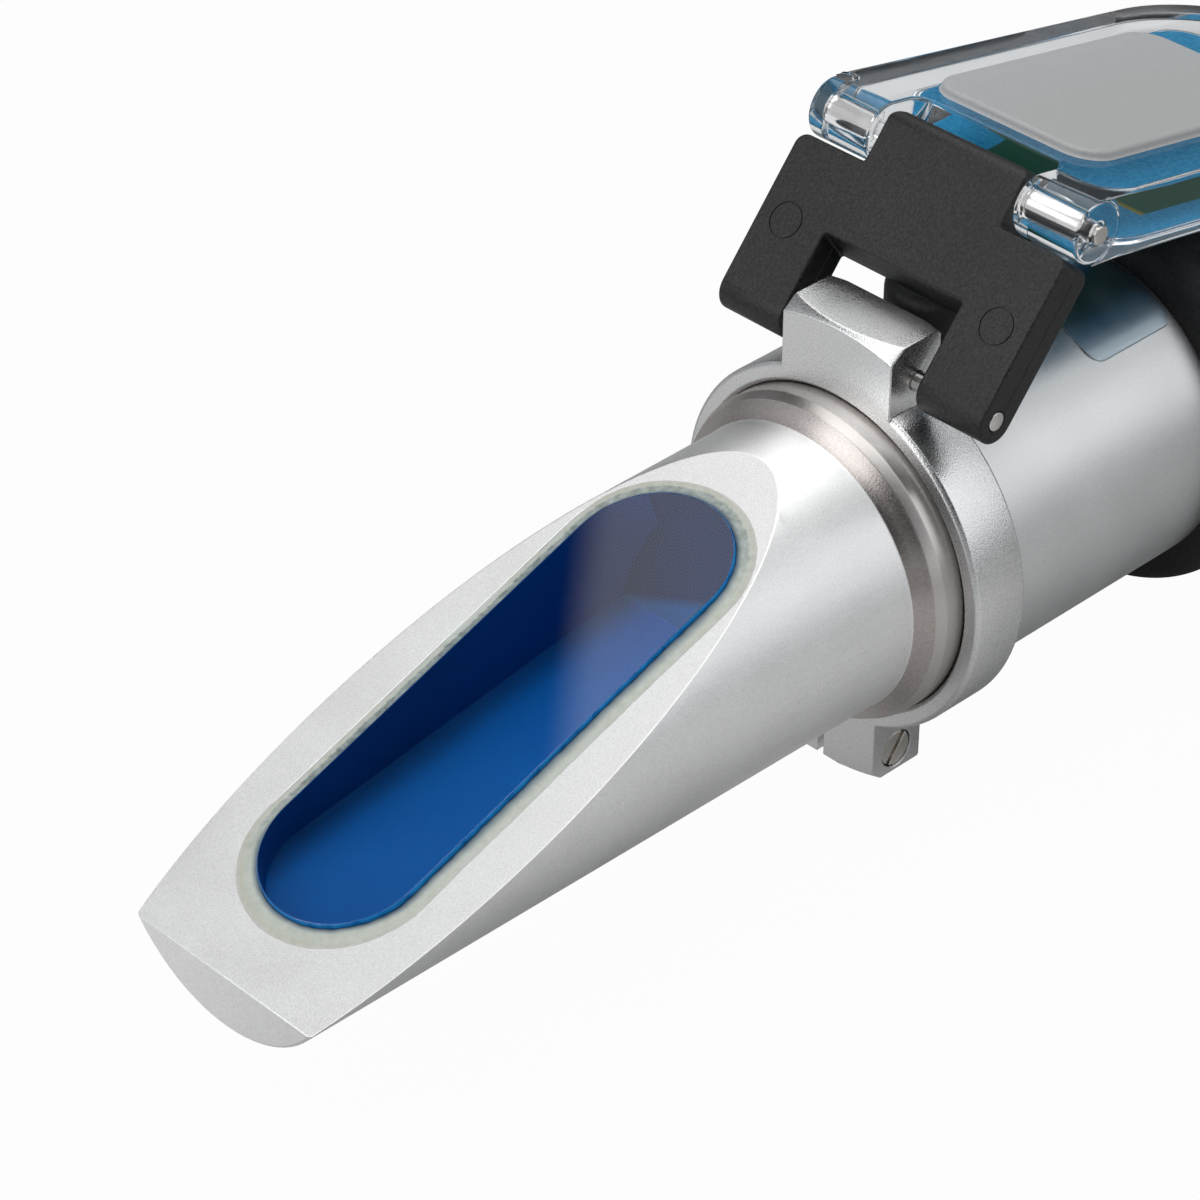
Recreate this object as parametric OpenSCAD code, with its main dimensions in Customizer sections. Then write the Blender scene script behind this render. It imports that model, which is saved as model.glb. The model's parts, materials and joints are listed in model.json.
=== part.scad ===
// Handheld refractometer with a hinged daylight cover.
// The optical axis runs along X: prism tip at -X, eyecup at +X, hinge lug on top.
// The part lies on its clamp ears and on the rim of its eyecup, at Z = 0.

/* [Overall] */
// Length of the prism head, from its blunt tip to the front face of the clamp ring
head_len = 59.75; // [58:0.25:62]
// Distance from the front face of the clamp ring to the rim of the eyecup
rear_len = 110.25; // [109.25:0.25:113]
// Height of the optical axis above the surface that the part lies on
axis_h = 19.2; // [19.1:0.1:20]

/* [Prism head] */
// Radius of the head at its tip
tip_r = 11.35; // [11.2:0.05:11.6]
// Radius of the head at its neck
neck_r = 11.75; // [11.6:0.05:11.9]
// Slope of the sample face against the optical axis, in degrees
face_angle = 19.6; // [19:0.1:20]
// Depth of the sample face below the axis, at the tip
face_drop = 6.75; // [6.5:0.05:7]
// Half length of the window in the sample face
glass_half_len = 21.8; // [20:0.1:22]
// Half width of the window in the sample face
glass_half_w = 6.6; // [6:0.1:6.7]
// Distance from the tip edge to the middle of the window, along the sample face
glass_mid = 27.75; // [27:0.05:28]
// Width of the adhesive band around the window
seal_w = 1.25; // [1:0.05:1.3]

/* [Clamp ring] */
// Outer radius of the clamp ring
ring_r = 15; // [14.8:0.1:15.4]
// Width of the clamp ring along the axis
ring_w = 5.3; // [5:0.1:5.6]
// Half width of the hinge lug
lug_half_w = 5.4; // [5:0.1:5.8]
// Height of the flat top of the lug above the axis
lug_top = 19.45; // [19:0.05:19.6]
// Half width of the pair of clamp ears
ear_half_w = 5.5; // [5.2:0.1:5.8]
// Width of the slit between the clamp ears
slit_w = 0.6; // [0.4:0.1:1]

/* [Hinge] */
// Angle at which the open link leans back from upright, in degrees
link_lean = 40.2; // [38:0.1:41]
// Distance between the two hinge pins
pin_span = 15.15; // [15:0.05:15.3]
// Radius of both hinge pins
pin_r = 0.75; // [0.7:0.05:0.8]
// Thickness of the link
link_t = 3.6; // [3.4:0.1:3.7]
// Half width of the link
link_half_w = 13.1; // [12.8:0.1:13.4]

/* [Cover] */
// Angle at which the open cover slopes down towards the eyepiece, in degrees
cover_slope = 10.93; // [10.5:0.01:10.93]
// Half width of the cover plate
cover_half_w = 12.9; // [12.5:0.1:13]
// Thickness of the cover plate
cover_t = 4.9; // [4.6:0.1:4.9]
// Distance from the hinge pin to the start of the cover's round end
cover_straight = 33.5; // [30:0.5:33.5]
// Height of the frosted pad on the inner face
pad_h = 0.7; // [0.5:0.1:0.8]

/* [Barrel] */
// Outer radius of the body tube
tube_r = 13.35; // [13.2:0.05:13.4]
// Front edge of the rubber grip
grip_front = 29.8; // [28:0.2:31]
// Rear edge of the rubber grip
grip_rear = 82.5; // [82.5:0.1:82.6]
// Outer radius of the rubber grip
grip_r = 16.1; // [15.7:0.05:16.1]
// Number of shallow grooves around the grip
grip_grooves = 13; // [6:1:13]

/* [Eyepiece] */
// Outer radius of the focus ring
focus_r = 15.4; // [15:0.1:16]
// Number of finger flutes on the focus ring
focus_flutes = 32; // [24:1:36]
// Outer radius of the eyecup's rim
eyecup_r = 19.2; // [18.6:0.1:19.2]

/* [Hidden] */
$fn = 72;

// Gap left between two pieces that are fitted together
fit_gap = 0.05;
// Gap left around a shaft that turns
turn_gap = 0.04;
// How far a cutting shape runs past the surface that it cuts
over = 1;
// Front face of the clamp ring along X, with the part centred on its length
ring_x = (head_len - rear_len) / 2;

// Prism head
tip_chamfer = 0.2;
bevel_start = 3.5;
bevel_end = 2.3;
bevel_drop = 0.35;
band_start = 1.5;
flange_end = 1.5;
spigot_end = 8.5;
spigot_r = tube_r - 1.75;
light_bore_r = 8.5;
glass_proud = 0.5;
seal_depth = 1;
seal_proud = 0.25;
filter_wall = 0.5;
pocket_grow = filter_wall + 2 * fit_gap;
prism_floor = -7.5;
prism_exit = -12.6;

// Clamp ring
ring_bore_r = tube_r + fit_gap;
ring_edge = 0.3;
turned_front_r = 19.23;
turned_max_r = 20.4;
front_chamfer = 1.6;
rear_chamfer = 0.6;
link_pin_x = 2.9;
link_pin_z = 16.05;
clamp_screw_x = ring_w / 2;
clamp_screw_z = -17.2;
clamp_head_r = 1.5;
clamp_head_t = 1.35;
clamp_shank_r = 0.8;
clamp_shank_end = 4.8;
clamp_slot_w = 0.44;
clamp_slot_depth = 0.6;
clamp_slot_turn = 35;

// Link, seen along its own height above the lower pin
ear_inner = 6.8;
window_top = 6.5;
window_drop = 0.9;
ear_top = 12.45;
tongue_half_w = 6.65;
tongue_top = 17.1;
corner_r = 1;
mark_r = 1.45;
mark_u = 6;
mark_y = 10.4;
mark_line = 0.1;

// Cover, measured along the plate from its hinge pin
cover_edge = 3.1;
knuckle_inner = 7.1;
knuckle_outer = 13.1;
knuckle_fillet = 1.2;
pad_start = 4.7;
pad_end = 30.4;
pad_half_w = 8;
pad_r = 2.6;
label_start = 4.6;
label_end = 38.5;
label_half_w = 10.3;
label_r = 3;
label_t = 0.2;
label_recess = 0.35;
pin_blind = 12.4;
pin_proud = 0.4;

// Barrel
tube_start = flange_end + fit_gap;
tube_end = 82;
tube_bore_r = 11.9;
groove_r = 0.9;
groove_depth = 0.55;
groove_pitch = 2.9;
first_groove = 40;
grip_nose_r = 2.2;
film_len = 9.2;
film_end = grip_front - 0.3;
film_start = film_end - film_len;
film_half_w = 7.9;
film_r = 1.2;
film_t = 0.1;

// Calibration screw on top of the tube
cal_x = 11.4;
bush_r = 2.4;
bush_flange_r = 2.85;
bush_top = 15.4;
cal_thread_r = 1.25;
cal_head_r = 2;
cal_head_t = 1.15;
cal_slot_w = 0.5;
cal_slot_depth = 0.55;
cap_r = 4.3;
cap_top = 18.9;
cap_round = 0.9;
cap_bore_r = 2.9;
cap_bore_top = 17.6;

// Temperature strip with the objective hung from it
strip_half_w = 4;
strip_bottom = 9.6;
strip_top = 10.4;
strip_start = 9.6;
strip_end = 41;
mount_start = 34;
mount_hole_x = [36, 39];
mount_screw_r = 0.7;
mount_screw_len = 2.4;
mount_head_r = 1.3;
mount_head_t = 0.8;
cell_start = 15;
cell_end = 22;
cell_r = 9.2;
cell_screw_x = (cell_start + cell_end) / 2;
cell_screw_y = 2.4;
cell_screw_r = 0.6;
cell_screw_bite = 0.9;
cell_head_r = 1.1;
cell_head_t = 0.5;
// Thickness of the rim that each lens or disc is seated on
seat_t = 1;
objective_r = 8.4;
objective_mid = cell_start + 3.2;
objective_t = 4.2;
objective_face_r = 30;

// Reticle
reticle_start = 60;
reticle_end = 66;
reticle_r = 9;
reticle_t = 1.45;
retainer_t = 1.45;

// Eyepiece
barrel_start = 72;
collar_end = 83.6;
collar_r = 14.6;
barrel_end = 99;
barrel_r = 11;
barrel_bore_r = 9.6;
slide_start = 84.2;
slide_end = 101.2;
eye_r = 8.3;
field_mid = slide_start + 3.4;
field_t = 4;
field_front_r = 20;
field_back_r = 60;
eye_mid = slide_end - 3.6;
eye_t = 4.2;
eye_face_r = 24;
focus_start = 85.4;
focus_end = 97.4;
focus_collar_r = 12.5;
focus_back = 103.4;
eye_hole_r = 7.6;
flute_r = 0.8;
flute_depth = 0.45;
rim_w = 4;

// Moves from the optical axis at the clamp ring's face to the row's own frame
module on_axis() {
  translate([ring_x, 0, axis_h])
    children();
}

// Stands on the sample face: X runs up the slope from the tip edge, Z leaves the face
module on_face() {
  translate([-head_len, 0, -face_drop])
    rotate([0, -face_angle, 0])
      children();
}

// Stands on the lower hinge pin, with Z along the open link
module on_link() {
  translate([link_pin_x, 0, link_pin_z])
    rotate([0, link_lean, 0])
      children();
}

// Stands on the upper hinge pin, with X along the open cover
module on_cover() {
  translate([link_pin_x + pin_span * sin(link_lean), 0, link_pin_z + pin_span * cos(link_lean)])
    rotate([0, cover_slope, 0])
      children();
}

// Turns a profile of [radius, x] points about the optical axis
module turned(profile) {
  rotate([0, 90, 0])
    rotate_extrude()
      polygon(profile);
}

// Straight tube or disc about the optical axis
module ring(outer, inner, x_from, x_to) {
  turned([[inner, x_from], [outer, x_from], [outer, x_to], [inner, x_to]]);
}

// Straight round bar across the part
module cross_bar(r, y_from, y_to) {
  translate([0, y_from, 0])
    rotate([-90, 0, 0])
      cylinder(r = r, h = y_to - y_from);
}

// Oblong with round ends, centred, long side on X
module stadium(half_len, half_w) {
  square([2 * (half_len - half_w), 2 * half_w], center = true);
  for (side = [-1, 1])
    translate([side * (half_len - half_w), 0])
      circle(r = half_w);
}

// Rectangle from x_from to x_to, centred on Y, with round corners
module rounded(x_from, x_to, half_w, r) {
  translate([x_from + r, -half_w])
    square([x_to - x_from - 2 * r, 2 * half_w]);
  translate([x_from, -half_w + r])
    square([x_to - x_from, 2 * (half_w - r)]);
  for (x = [x_from + r, x_to - r], side = [-1, 1])
    translate([x, side * (half_w - r)])
      circle(r = r);
}

// Prism head

// Column below the window's outline, grown sideways, down to a level floor and an exit plane
module window_column(grow, top, floor_z, exit_x) {
  intersection() {
    on_face()
      translate([glass_mid, 0, -30])
        linear_extrude(30 + top)
          stadium(glass_half_len + grow, glass_half_w + grow);
    translate([-head_len, -tube_r, floor_z])
      cube([head_len + exit_x, 2 * tube_r, 2 * tube_r]);
  }
}

module head_blank() {
  turned([
    [0, -head_len],
    [tip_r - tip_chamfer, -head_len],
    [tip_r, -head_len + tip_chamfer],
    [neck_r, -bevel_start],
    [tube_r - bevel_drop, -bevel_end],
    [tube_r, -band_start],
    [tube_r, flange_end],
    [spigot_r, flange_end],
    [spigot_r, spigot_end],
    [0, spigot_end]
  ]);
}

module prism_head() {
  color("silver")
    on_axis()
      difference() {
        head_blank();
        on_face()
          translate([-head_len, -2 * tube_r, 0])
            cube([3 * head_len, 4 * tube_r, 2 * tube_r]);
        on_face()
          translate([glass_mid, 0, -seal_depth])
            linear_extrude(2 * seal_depth)
              stadium(glass_half_len + seal_w, glass_half_w + seal_w);
        window_column(pocket_grow, over, prism_floor - filter_wall - fit_gap, prism_exit + fit_gap);
        ring(light_bore_r, 0, prism_exit, spigot_end + over);
      }
}

module prism_glass() {
  color("lightskyblue", 0.5)
    on_axis()
      window_column(0, glass_proud, prism_floor, prism_exit);
}

module blue_filter() {
  color("royalblue")
    on_axis()
      difference() {
        window_column(filter_wall + fit_gap, -seal_depth - fit_gap, prism_floor - filter_wall, prism_exit);
        window_column(fit_gap, over, prism_floor - fit_gap / 2, prism_exit + over);
      }
}

module prism_seal() {
  color("lightgray")
    on_axis()
      on_face()
        translate([glass_mid, 0, -seal_depth])
          linear_extrude(seal_depth + seal_proud)
            difference() {
              stadium(glass_half_len + seal_w - fit_gap / 2, glass_half_w + seal_w - fit_gap / 2);
              stadium(glass_half_len + fit_gap / 2, glass_half_w + fit_gap / 2);
            }
}

// Clamp ring and its screw

// Outer limit left by turning the lug and the ears together with the ring
module turned_limit() {
  turned([
    [0, 0],
    [turned_front_r, 0],
    [turned_max_r, front_chamfer],
    [turned_max_r, ring_w - rear_chamfer],
    [turned_max_r - rear_chamfer, ring_w],
    [0, ring_w]
  ]);
}

module clamp_ring() {
  color("gainsboro")
    on_axis()
      difference() {
        union() {
          turned([
            [0, 0],
            [ring_r - ring_edge, 0],
            [ring_r, ring_edge],
            [ring_r, ring_w - ring_edge],
            [ring_r - ring_edge, ring_w],
            [0, ring_w]
          ]);
          intersection() {
            turned_limit();
            union() {
              translate([0, -lug_half_w, 0])
                cube([ring_w, 2 * lug_half_w, lug_top]);
              translate([0, -ear_half_w, -axis_h])
                cube([ring_w, 2 * ear_half_w, axis_h]);
            }
          }
        }
        ring(ring_bore_r, 0, -over, ring_w + over);
        turned([
          [0, -over],
          [ring_bore_r + ring_edge + over, -over],
          [ring_bore_r, ring_edge],
          [0, ring_edge]
        ]);
        translate([-over, -slit_w / 2, -axis_h - over])
          cube([ring_w + 2 * over, slit_w, axis_h - ring_bore_r + 2 * over]);
        translate([link_pin_x, 0, link_pin_z])
          cross_bar(pin_r + turn_gap, -lug_half_w - over, lug_half_w + over);
        translate([clamp_screw_x, 0, clamp_screw_z]) {
          cross_bar(clamp_head_r + 2 * fit_gap, -ear_half_w - over, -ear_half_w + clamp_head_t);
          cross_bar(clamp_shank_r + fit_gap, -ear_half_w, 0);
          cross_bar(clamp_shank_r + fit_gap / 2, 0, ear_half_w + over);
        }
      }
}

module clamp_screw() {
  color("lightgray")
    on_axis()
      translate([clamp_screw_x, 0, clamp_screw_z])
        difference() {
          union() {
            cross_bar(clamp_head_r, -ear_half_w + 2 * fit_gap, -ear_half_w + clamp_head_t - fit_gap / 2);
            cross_bar(clamp_shank_r, -ear_half_w + clamp_head_t - over / 2, clamp_shank_end);
          }
          rotate([0, clamp_slot_turn, 0])
            translate([-clamp_slot_w / 2, -ear_half_w - over, -2 * clamp_head_r])
              cube([clamp_slot_w, over + 2 * fit_gap + clamp_slot_depth, 4 * clamp_head_r]);
        }
}

// Link between the ring and the cover

// Front view of the link: two ears below, a web, and a tongue above
module link_outline() {
  difference() {
    union() {
      translate([-link_half_w, -link_t])
        square([2 * link_half_w, link_t + ear_top - corner_r]);
      translate([-link_half_w + corner_r, -link_t])
        square([2 * (link_half_w - corner_r), link_t + ear_top]);
      for (side = [-1, 1])
        translate([side * (link_half_w - corner_r), ear_top - corner_r])
          circle(r = corner_r);
      translate([-tongue_half_w, 0])
        square([2 * tongue_half_w, tongue_top - corner_r]);
      translate([-tongue_half_w + corner_r, 0])
        square([2 * (tongue_half_w - corner_r), tongue_top]);
      for (side = [-1, 1])
        translate([side * (tongue_half_w - corner_r), tongue_top - corner_r])
          circle(r = corner_r);
    }
    translate([-ear_inner, -2 * link_t])
      square([2 * ear_inner, 2 * link_t + window_top - window_drop]);
  }
}

// The window between the ears is taller in front than behind, so its upper wall slopes
module window_wedge() {
  translate([0, ear_inner, 0])
    rotate([90, 0, 0])
      linear_extrude(2 * ear_inner)
        polygon([
          [-link_t / 2 - over, 0],
          [-link_t / 2 - over, window_top],
          [-link_t / 2, window_top],
          [link_t / 2, window_top - window_drop],
          [link_t / 2, 0]
        ]);
}

// Side view of the link: round at the lower pin, eased at the top of the tongue
module link_side() {
  circle(r = link_t / 2);
  translate([-link_t / 2, 0])
    square([link_t, tongue_top - corner_r]);
  translate([-link_t / 2 + corner_r, 0])
    square([link_t - 2 * corner_r, tongue_top]);
  for (side = [-1, 1])
    translate([side * (link_t / 2 - corner_r), tongue_top - corner_r])
      circle(r = corner_r);
}

module hinge_link() {
  color("dimgray")
    on_axis()
      on_link()
        difference() {
          intersection() {
            rotate([90, 0, 90])
              translate([0, 0, -link_t])
                linear_extrude(2 * link_t)
                  link_outline();
            rotate([90, 0, 0])
              translate([0, 0, -link_half_w])
                linear_extrude(2 * link_half_w)
                  link_side();
          }
          window_wedge();
          cross_bar(pin_r + fit_gap / 2, -link_half_w - over, link_half_w + over);
          translate([0, 0, pin_span])
            cross_bar(pin_r + turn_gap, -link_half_w, link_half_w);
          for (side = [-1, 1])
            translate([-link_t / 2, side * mark_y, mark_u])
              rotate([0, 90, 0])
                difference() {
                  translate([0, 0, -over])
                    cylinder(r = mark_r, h = over + mark_line);
                  translate([0, 0, -2 * over])
                    cylinder(r = mark_r - mark_line, h = 4 * over);
                }
        }
}

module link_pin() {
  color("silver")
    on_axis()
      on_link()
        cross_bar(pin_r, -link_half_w, link_half_w - 0.5);
}

// Cover plate with its two knuckles, frosted pad and label

module cover_outline() {
  translate([cover_edge, -cover_half_w])
    square([cover_straight - cover_edge, 2 * cover_half_w]);
  intersection() {
    translate([cover_straight, 0])
      circle(r = cover_half_w, $fn = 144);
    translate([cover_straight - 1, -cover_half_w])
      square([cover_half_w + 1, 2 * cover_half_w]);
  }
  for (side = [-1, 1]) {
    translate([0, side > 0 ? knuckle_inner : -cover_half_w])
      square([cover_edge + 1, cover_half_w - knuckle_inner]);
    difference() {
      translate([cover_edge - knuckle_fillet, side > 0 ? knuckle_inner - knuckle_fillet : -knuckle_inner])
        square([knuckle_fillet + 1, knuckle_fillet]);
      translate([cover_edge - knuckle_fillet, side * (knuckle_inner - knuckle_fillet)])
        circle(r = knuckle_fillet);
    }
  }
}

module cover_plate() {
  color("aliceblue", 0.4)
    on_axis()
      on_cover()
        difference() {
          union() {
            translate([0, 0, -cover_t / 2])
              linear_extrude(cover_t)
                cover_outline();
            cross_bar(cover_t / 2, -knuckle_outer, -knuckle_inner);
            cross_bar(cover_t / 2, knuckle_inner, knuckle_outer);
            translate([0, 0, cover_t / 2 - 1])
              linear_extrude(1 + pad_h)
                rounded(pad_start, pad_end, pad_half_w, pad_r);
          }
          translate([0, 0, -cover_t / 2 - over])
            linear_extrude(over + label_recess)
              rounded(label_start, label_end, label_half_w, label_r);
          cross_bar(pin_r + fit_gap / 2, -knuckle_outer - over, pin_blind + fit_gap);
        }
}

module cover_pin() {
  color("silver")
    on_axis()
      on_cover()
        cross_bar(pin_r, -knuckle_outer - pin_proud, pin_blind);
}

module cover_label() {
  color("dodgerblue")
    on_axis()
      on_cover()
        translate([0, 0, -cover_t / 2 + label_recess - label_t - fit_gap / 2])
          linear_extrude(label_t)
            rounded(label_start + 2 * fit_gap, label_end - 2 * fit_gap, label_half_w - 2 * fit_gap, label_r);
}

// Barrel

module body_tube() {
  color("gainsboro")
    on_axis()
      difference() {
        turned([
          [spigot_r + fit_gap, tube_start],
          [tube_r, tube_start],
          [tube_r, tube_end],
          [tube_bore_r, tube_end],
          [tube_bore_r, spigot_end + 0.5],
          [spigot_r + fit_gap, spigot_end + 0.5]
        ]);
        translate([cal_x, 0, 0])
          cylinder(r = bush_r + fit_gap / 2, h = 2 * tube_r);
      }
}

// Clear film wrapped over the top of the tube, with round corners
module tube_film() {
  color("lightcyan")
    on_axis()
      intersection() {
        turned([
          [tube_r + fit_gap / 2, film_start - over],
          [tube_r + fit_gap / 2 + film_t, film_start - over],
          [tube_r + fit_gap / 2 + film_t, film_end + over],
          [tube_r + fit_gap / 2, film_end + over]
        ]);
        linear_extrude(tube_r + over)
          rounded(film_start, film_end, film_half_w, film_r);
      }
}

module grip_sleeve() {
  color("dimgray")
    on_axis()
      rotate([0, 90, 0])
        rotate_extrude()
          difference() {
            intersection() {
              translate([tube_r + fit_gap, grip_front])
                square([grip_r - tube_r, grip_rear - grip_front]);
              union() {
                translate([0, grip_front])
                  square([grip_r - grip_nose_r, grip_rear - grip_front]);
                translate([0, grip_front + grip_nose_r])
                  square([grip_r, grip_rear - grip_front - grip_nose_r]);
                translate([grip_r - grip_nose_r, grip_front + grip_nose_r])
                  circle(r = grip_nose_r);
              }
            }
            for (i = [0 : grip_grooves - 1])
              translate([grip_r + groove_r - groove_depth, first_groove + i * groove_pitch])
                circle(r = groove_r, $fn = 32);
          }
}

module screw_bush() {
  color("darkgoldenrod")
    on_axis()
      difference() {
        union() {
          difference() {
            translate([cal_x, 0, tube_bore_r])
              cylinder(r = bush_flange_r, h = bush_top - tube_bore_r);
            ring(tube_r + fit_gap / 2, 0, 0, 2 * cal_x);
          }
          translate([cal_x, 0, tube_bore_r - 0.3])
            cylinder(r = bush_r, h = 2);
        }
        translate([cal_x, 0, 0])
          cylinder(r = cal_thread_r + turn_gap, h = 2 * tube_r);
      }
}

module calibration_screw() {
  color("goldenrod")
    on_axis()
      translate([cal_x, 0, 0])
        difference() {
          union() {
            translate([0, 0, strip_top + fit_gap])
              cylinder(r = cal_thread_r, h = bush_top - strip_top);
            translate([0, 0, bush_top + fit_gap])
              cylinder(r = cal_head_r, h = cal_head_t);
          }
          translate([-2 * cal_head_r, -cal_slot_w / 2, bush_top + fit_gap + cal_head_t - cal_slot_depth])
            cube([4 * cal_head_r, cal_slot_w, cal_slot_depth + over]);
        }
}

module calibration_cap() {
  color("dimgray")
    on_axis()
      difference() {
        translate([cal_x, 0, 0]) {
          cylinder(r = cap_r, h = cap_top - cap_round);
          cylinder(r = cap_r - cap_round, h = cap_top);
          translate([0, 0, cap_top - cap_round])
            rotate_extrude()
              translate([cap_r - cap_round, 0])
                circle(r = cap_round);
        }
        translate([cal_x, 0, 0])
          cylinder(r = cap_bore_r, h = cap_bore_top);
        ring(tube_r + fit_gap / 2, 0, 0, 2 * cal_x);
      }
}

// Temperature strip and objective

module bimetal_strip() {
  color("peru")
    on_axis()
      difference() {
        translate([strip_start, -strip_half_w, strip_bottom])
          cube([strip_end - strip_start, 2 * strip_half_w, strip_top - strip_bottom]);
        for (x = mount_hole_x)
          translate([x, 0, strip_bottom - over])
            cylinder(r = mount_screw_r + fit_gap, h = 3 * over);
        for (side = [-1, 1])
          translate([cell_screw_x, side * cell_screw_y, strip_bottom - over])
            cylinder(r = cell_screw_r + fit_gap, h = 3 * over);
      }
}

module strip_mount() {
  color("silver")
    on_axis()
      difference() {
        intersection() {
          translate([mount_start, -strip_half_w, strip_top + 2 * fit_gap])
            cube([strip_end - mount_start, 2 * strip_half_w, tube_r]);
          ring(tube_bore_r - fit_gap / 2, 0, mount_start, strip_end);
        }
        for (x = mount_hole_x)
          translate([x, 0, strip_bottom])
            cylinder(r = mount_screw_r + fit_gap / 2, h = mount_screw_len - mount_head_t);
      }
}

module mount_screws() {
  color("silver")
    on_axis()
      for (x = mount_hole_x)
        translate([x, 0, strip_bottom - 2 * fit_gap - mount_head_t]) {
          cylinder(r = mount_head_r, h = mount_head_t);
          cylinder(r = mount_screw_r, h = mount_screw_len);
        }
}

module cell_screws() {
  color("silver")
    on_axis()
      for (side = [-1, 1])
        translate([cell_screw_x, side * cell_screw_y, strip_bottom - cell_screw_bite]) {
          cylinder(r = cell_screw_r, h = cell_screw_bite + strip_top - strip_bottom + cell_head_t);
          translate([0, 0, cell_screw_bite + strip_top - strip_bottom + fit_gap / 2])
            cylinder(r = cell_head_r, h = cell_head_t);
        }
}

// Lens between two spherical faces, given its rim radius, middle thickness and face radii
module lens(rim_r, middle_x, thick, front_r, back_r) {
  rotate([0, 90, 0])
    rotate_extrude()
      intersection() {
        translate([0, middle_x - thick])
          square([rim_r, 2 * thick]);
        translate([0, middle_x - thick / 2 + front_r])
          circle(r = front_r, $fn = 144);
        translate([0, middle_x + thick / 2 - back_r])
          circle(r = back_r, $fn = 144);
      }
}

module objective_cell() {
  color("dimgray")
    on_axis()
      difference() {
        union() {
          ring(cell_r, 0, cell_start, cell_end);
          translate([cell_start, -strip_half_w, cell_r - 2])
            cube([cell_end - cell_start, 2 * strip_half_w, strip_bottom - fit_gap / 2 - cell_r + 2]);
        }
        ring(objective_r - seat_t, 0, cell_start - over, cell_end + over);
        ring(objective_r + fit_gap / 2, 0, cell_start + seat_t, cell_end + over);
        for (side = [-1, 1])
          translate([cell_screw_x, side * cell_screw_y, strip_bottom - cell_screw_bite - fit_gap])
            cylinder(r = cell_screw_r + fit_gap / 2, h = cell_screw_bite + over);
      }
}

module objective_lens() {
  color("lightcyan", 0.5)
    on_axis()
      lens(objective_r, objective_mid, objective_t, objective_face_r, objective_face_r);
}

module objective_retainer() {
  color("dimgray")
    on_axis()
      ring(objective_r, objective_r - 1.2, cell_end - 1.4, cell_end - 0.2);
}

// Reticle

module reticle_cell() {
  color("dimgray")
    on_axis()
      difference() {
        ring(tube_bore_r - fit_gap / 2, reticle_r - 1.5, reticle_start, reticle_end);
        ring(reticle_r + fit_gap / 2, 0, reticle_start + seat_t, reticle_end + over);
      }
}

module reticle_disc() {
  color("lightcyan", 0.5)
    on_axis()
      ring(reticle_r, 0, reticle_start + seat_t + fit_gap, reticle_start + seat_t + fit_gap + reticle_t);
}

module reticle_retainer() {
  color("dimgray")
    on_axis()
      translate([reticle_start + seat_t + 2 * fit_gap + reticle_t, 0, 0])
        ring(reticle_r, reticle_r - 1.4, 0, retainer_t);
}

// Eyepiece

module eyepiece_barrel() {
  color("dimgray")
    on_axis()
      difference() {
        turned([
          [barrel_bore_r - 1.5, barrel_start],
          [tube_bore_r - fit_gap / 2, barrel_start],
          [tube_bore_r - fit_gap / 2, tube_end + fit_gap],
          [tube_r, tube_end + fit_gap],
          [tube_r, grip_rear + fit_gap],
          [collar_r, grip_rear + fit_gap],
          [collar_r, collar_end],
          [barrel_r, collar_end],
          [barrel_r, barrel_end],
          [barrel_bore_r - 1.5, barrel_end]
        ]);
        ring(barrel_bore_r, 0, barrel_start + 4, barrel_end + over);
      }
}

module eyepiece_cell() {
  color("dimgray")
    on_axis()
      difference() {
        ring(barrel_bore_r - fit_gap, eye_r - 0.9, slide_start, slide_end);
        ring(eye_r + fit_gap / 2, 0, slide_start + seat_t, slide_end + over);
      }
}

module field_lens() {
  color("lightcyan", 0.5)
    on_axis()
      lens(eye_r, field_mid, field_t, field_front_r, field_back_r);
}

module lens_spacer() {
  color("dimgray")
    on_axis()
      ring(eye_r, eye_r - 0.9, slide_start + 5.6, slide_end - 6);
}

module eye_lens() {
  color("lightcyan", 0.5)
    on_axis()
      lens(eye_r, eye_mid, eye_t, eye_face_r, eye_face_r);
}

module eye_lens_retainer() {
  color("dimgray")
    on_axis()
      ring(eye_r, eye_r - 1.1, slide_end - 1.4, slide_end - 0.2);
}

module focus_ring() {
  color("dimgray")
    on_axis()
      difference() {
        turned([
          [barrel_r + turn_gap, focus_start],
          [focus_r - 0.5, focus_start],
          [focus_r, focus_start + 0.5],
          [focus_r, focus_end - 0.5],
          [focus_r - 0.5, focus_end],
          [focus_collar_r, focus_end],
          [focus_collar_r, focus_back],
          [eye_hole_r, focus_back],
          [eye_hole_r, slide_end + 0.1],
          [barrel_r + turn_gap, slide_end + 0.1]
        ]);
        for (i = [0 : focus_flutes - 1])
          rotate([i * 360 / focus_flutes, 0, 0])
            translate([focus_start - over, 0, focus_r + flute_r - flute_depth])
              rotate([0, 90, 0])
                cylinder(r = flute_r, h = focus_end - focus_start + 2 * over, $fn = 24);
      }
}

module eyecup() {
  color("dimgray")
    on_axis()
      turned([
        [focus_collar_r + fit_gap / 2, focus_end + 0.2],
        [focus_collar_r + 2.2, focus_end + 0.2],
        [focus_collar_r + 2.6, focus_end + 3],
        [eyecup_r - 2.4, rear_len - rim_w - 2.6],
        [eyecup_r, rear_len - rim_w],
        [eyecup_r, rear_len],
        [eyecup_r - 1.4, rear_len],
        [eyecup_r - 3.4, rear_len - rim_w],
        [focus_collar_r + 0.6, focus_back + 0.1],
        [focus_collar_r + fit_gap / 2, focus_back + 0.1]
      ]);
}

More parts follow.
